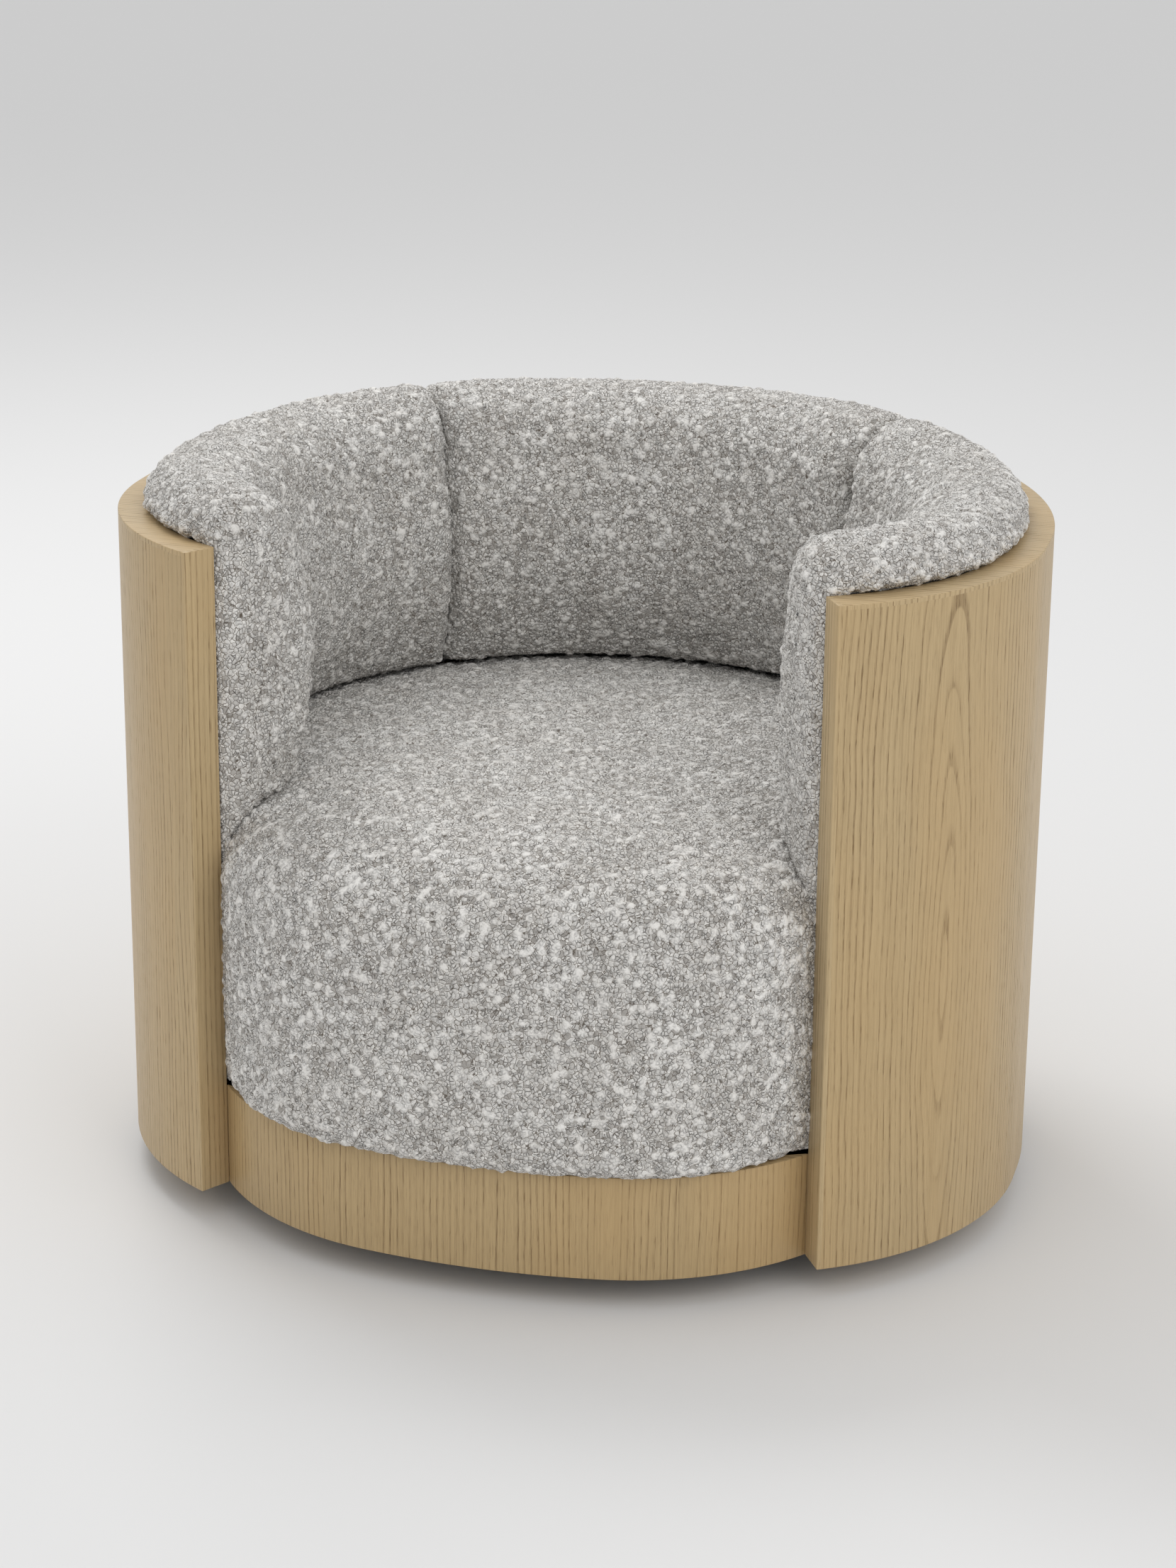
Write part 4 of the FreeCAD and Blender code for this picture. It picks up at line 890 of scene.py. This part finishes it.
def refine(obj, shown):
    """Halves the faces that show, by shown(centres, normals), and leaves the hidden ones coarse."""
    mesh = obj.data
    centres = np.empty(len(mesh.polygons) * 3, np.float32)
    mesh.polygons.foreach_get("center", centres)
    facing = np.empty(len(mesh.polygons) * 3, np.float32)
    mesh.polygons.foreach_get("normal", facing)
    chosen = shown(centres.reshape(-1, 3), facing.reshape(-1, 3))
    bm = bmesh.new()
    bm.from_mesh(mesh)
    bm.faces.ensure_lookup_table()
    edges = {edge for i in np.nonzero(chosen)[0] for edge in bm.faces[i].edges}
    bmesh.ops.subdivide_edges(bm, edges=list(edges), cuts=1, use_grid_fill=True, smooth=0.6)
    bm.to_mesh(mesh)
    bm.free()
    mesh.polygons.foreach_set("use_smooth", [True] * len(mesh.polygons))
    mesh.update()


def swell(obj, held):
    """Blows the cover up from inside as cloth. held gives 1 for points that stay. The rest move to a cap."""
    mesh = obj.data
    before = coordinates(mesh)
    hold = held(before)
    group = obj.vertex_groups.new(name="held")
    for weight in np.unique(hold.round(1)):
        if weight > 0:
            group.add([int(i) for i in np.nonzero(hold.round(1) == weight)[0]], float(weight), "REPLACE")
    cover = obj.modifiers.new("cover", "CLOTH")
    settings = cover.settings
    settings.quality, settings.mass = 4, 0.3
    settings.tension_stiffness = settings.compression_stiffness = 12.0
    settings.shear_stiffness, settings.bending_stiffness = 5.0, 3.0
    settings.use_pressure, settings.uniform_pressure_force = True, SWELL_PRESSURE
    settings.effector_weights.gravity = 0.0
    settings.vertex_group_mass = "held"
    cover.collision_settings.use_collision = False
    cover.point_cache.frame_start, cover.point_cache.frame_end = 1, SWELL_FRAMES
    view = bpy.context.scene
    for step in range(1, SWELL_FRAMES + 1):
        view.frame_set(step)
    graph = bpy.context.evaluated_depsgraph_get()
    after = coordinates(obj.evaluated_get(graph).data)
    obj.modifiers.clear()
    obj.vertex_groups.clear()
    view.frame_set(1)
    move = (after - before) * (1 - hold)[:, None]
    length = np.linalg.norm(move, axis=1)
    move *= np.minimum(1.0, SWELL_CAP / np.maximum(length, 1e-9))[:, None]
    set_coordinates(mesh, before + move)


def wall_depth(points):
    """The distance from the wall's inner face into the tub, for each point."""
    x, y = np.abs(points[:, 0]), points[:, 1]
    back = INNER_R - np.hypot(x, y - BACK_Y)
    side = INNER_R - x
    front = FRONT_R - np.hypot(x - FRONT_X, y - SIDE_Y)
    clear = 0.2
    return np.where(y > BACK_Y, back, np.where(y > SIDE_Y, side, np.where(x > FRONT_X, front, clear)))


# Slubs: the share of the cloth that they cover, their mean radius, and the ranges of radius and height
NUB_COVER, NUB_MEAN_R = 0.085, 0.0029
NUB_RADII, NUB_HEIGHTS = (0.0024, 0.0040), (0.0014, 0.0030)
# A slub's foot spreads past its radius by this factor
NUB_FOOT = 1.35
# The loops between them lift and sink the cloth by up to this much, and paint shade on it about a middle
# value, darker where a point sinks
LOOP_LIFT, LOOP_SHADE, SHADE_PER_METRE = 0.0011, 0.40, 180


def nubs(obj, seed):
    """Raises the bouclé's slubs and loops out of the cloth, and records them in a point attribute that also
    carries painted shade: lower points get lower values, which the material paints darker.
    """
    mesh = obj.data
    rng = np.random.default_rng(seed)
    co, facing = coordinates(mesh), normals_of(mesh)
    tree = KDTree(len(co))
    for i, point in enumerate(co):
        tree.insert(point, i)
    tree.balance()
    area = sum(face.area for face in mesh.polygons)
    lift = rng.uniform(-LOOP_LIFT, LOOP_LIFT, len(co))
    # Painted shade: points that sink get a lower value, which darkens their colour in the material
    shade = LOOP_SHADE + lift * SHADE_PER_METRE
    count = int(NUB_COVER * area / (math.pi * NUB_MEAN_R ** 2))
    for i in rng.choice(len(co), count, replace=False):
        reach = rng.uniform(*NUB_RADII) * NUB_FOOT
        height = rng.uniform(*NUB_HEIGHTS)
        for _, index, gap in tree.find_range(co[i], reach):
            rise = max(0.0, 1 - (gap / reach) ** 2)
            lift[index] = max(lift[index], height * rise ** 0.7)
            shade[index] = max(shade[index], LOOP_SHADE + (1 - LOOP_SHADE) * rise)
    set_coordinates(mesh, co + facing * lift[:, None])
    layer = mesh.attributes.new("slub_and_crease_shade", "FLOAT", "POINT")
    layer.data.foreach_set("value", shade.astype(np.float32))


def upholster(obj, held, smooth_share, shown, seed):
    """Takes a closed form to its swollen, looped cover."""
    remesh(obj)
    relax(obj, 3)
    swell(obj, held)
    if smooth_share:
        relax(obj, 24, smooth_share)
    refine(obj, shown)
    nubs(obj, seed)


def make_seat():
    def held(at):
        foot = (SEAT_HELD_TOP - at[:, 2]) / FADE_UP
        wall = (SEAT_HELD_DEPTH - wall_depth(at)) / FADE_IN
        return np.clip(np.maximum(foot, wall), 0, 1)

    def shown(at, facing):
        top = (wall_depth(at) > SEAT_TOP_DEPTH) & (at[:, 2] > SEAT_TOP_LOW)
        return top | (at[:, 1] < SEAT_FRONT_Y) & (facing[:, 2] > DOWNWARD)

    seat = seat_form("seat")
    upholster(seat, held, None, shown, 11)
    finish_piece(seat, BOUCLE, "seat_cushion")


def make_pads():
    def held(at):
        foot = (PAD_HELD_TOP - at[:, 2]) / FADE_UP
        wall = (PAD_HELD_DEPTH - wall_depth(at)) / FADE_IN * (at[:, 2] < WALL_TOP + PAD_FREE_RISE)
        return np.clip(np.maximum(wall, foot), 0, 1)

    def inner_face(at):
        deep = np.clip((wall_depth(at) - FACE_DEPTH) / FACE_FADE_IN, 0, 1)
        return deep * np.clip((at[:, 2] - FACE_LOW) / FACE_FADE_UP, 0, 1)

    def shown(at, facing):
        return (at[:, 2] > PAD_SHOWN_LOW) & ((wall_depth(at) > PAD_SHOWN_DEPTH) | (at[:, 2] > WALL_TOP))

    seam = SEAM_GAP / 2
    under = seat_form("seat_tool")
    right = pad_form("right_pad", SEAM + seam, NOSE, NOSE_DRAW, nose=True)
    middle = pad_form("middle_pad", -SEAM + seam, SEAM - seam, SEAM_DRAW)
    for pad in (right, middle):
        subtract(pad, under)
    bpy.data.objects.remove(under)
    left = mirror_x(right, "left_pad")
    pads = ((left, "left_side_pad", 21), (middle, "back_pad", 22), (right, "right_side_pad", 23))
    for pad, node, seed in pads:
        upholster(pad, held, inner_face, shown, seed)
        finish_piece(pad, BOUCLE, node)


make_seat()
make_pads()


# Room, light and camera

FLOOR_REACH = 60
FLOOR_COLOUR = (0.80, 0.80, 0.80, 1.0)
WORLD_COLOUR, WORLD_STRENGTH = (1.0, 1.0, 1.0, 1.0), 0.75
CAMERA_AT = (0.7612, -2.8792, 1.3383)
CAMERA_LENS, CAMERA_SENSOR = 81.03, 36.0
YAW, PITCH, ROLL = (math.radians(angle) for angle in (14.874, 18.599, 0.592))


def area_light(name, at, target, size, power):
    data = bpy.data.lights.new(name, "AREA")
    data.energy, data.size = power, size
    lamp = bpy.data.objects.new(name, data)
    bpy.context.scene.collection.objects.link(lamp)
    lamp.location = at
    lamp.rotation_mode = "QUATERNION"
    lamp.rotation_quaternion = (Vector(target) - Vector(at)).to_track_quat("-Z", "Y")


def make_room():
    corners = [(x * FLOOR_REACH, y * FLOOR_REACH, 0) for x, y in ((-1, -1), (1, -1), (1, 1), (-1, 1))]
    floor = new_object("floor", corners, [(0, 1, 2, 3)])
    mat, _, shader = material("floor")
    shader.inputs["Base Color"].default_value = FLOOR_COLOUR
    shader.inputs["Roughness"].default_value = 0.9
    shader.inputs["Specular IOR Level"].default_value = 0.1
    floor.data.materials.append(mat)
    world = bpy.data.worlds.new("soft_room")
    bpy.context.scene.world = world
    world.use_nodes = True
    background = world.node_tree.nodes["Background"]
    background.inputs["Color"].default_value = WORLD_COLOUR
    background.inputs["Strength"].default_value = WORLD_STRENGTH
    area_light("key", at=(-1.6, 1.5, 3.2), target=(0, 0, 0.3), size=1.6, power=42.0)
    area_light("fill", at=(2.6, -2.2, 2.4), target=(0, 0, 0.4), size=2.4, power=26.0)


def make_camera():
    """The photograph's view. The yaw turns it to the left, the pitch down and the roll anticlockwise."""
    data = bpy.data.cameras.new("photo_view")
    data.lens, data.sensor_width, data.sensor_fit = CAMERA_LENS, CAMERA_SENSOR, "AUTO"
    camera = bpy.data.objects.new("photo_view", data)
    bpy.context.scene.collection.objects.link(camera)
    forward = Vector((-math.sin(YAW) * math.cos(PITCH), math.cos(YAW) * math.cos(PITCH), -math.sin(PITCH)))
    right = Vector((math.cos(YAW), math.sin(YAW), 0))
    up = right.cross(forward)
    across = right * math.cos(ROLL) + up * math.sin(ROLL)
    upward = up * math.cos(ROLL) - right * math.sin(ROLL)
    turn = Matrix((across, upward, -forward)).transposed().to_4x4()
    camera.matrix_world = Matrix.Translation(CAMERA_AT) @ turn
    bpy.context.scene.camera = camera


make_room()
make_camera()
scene = bpy.context.scene
scene.view_settings.view_transform = "Standard"
scene.view_settings.look = "None"
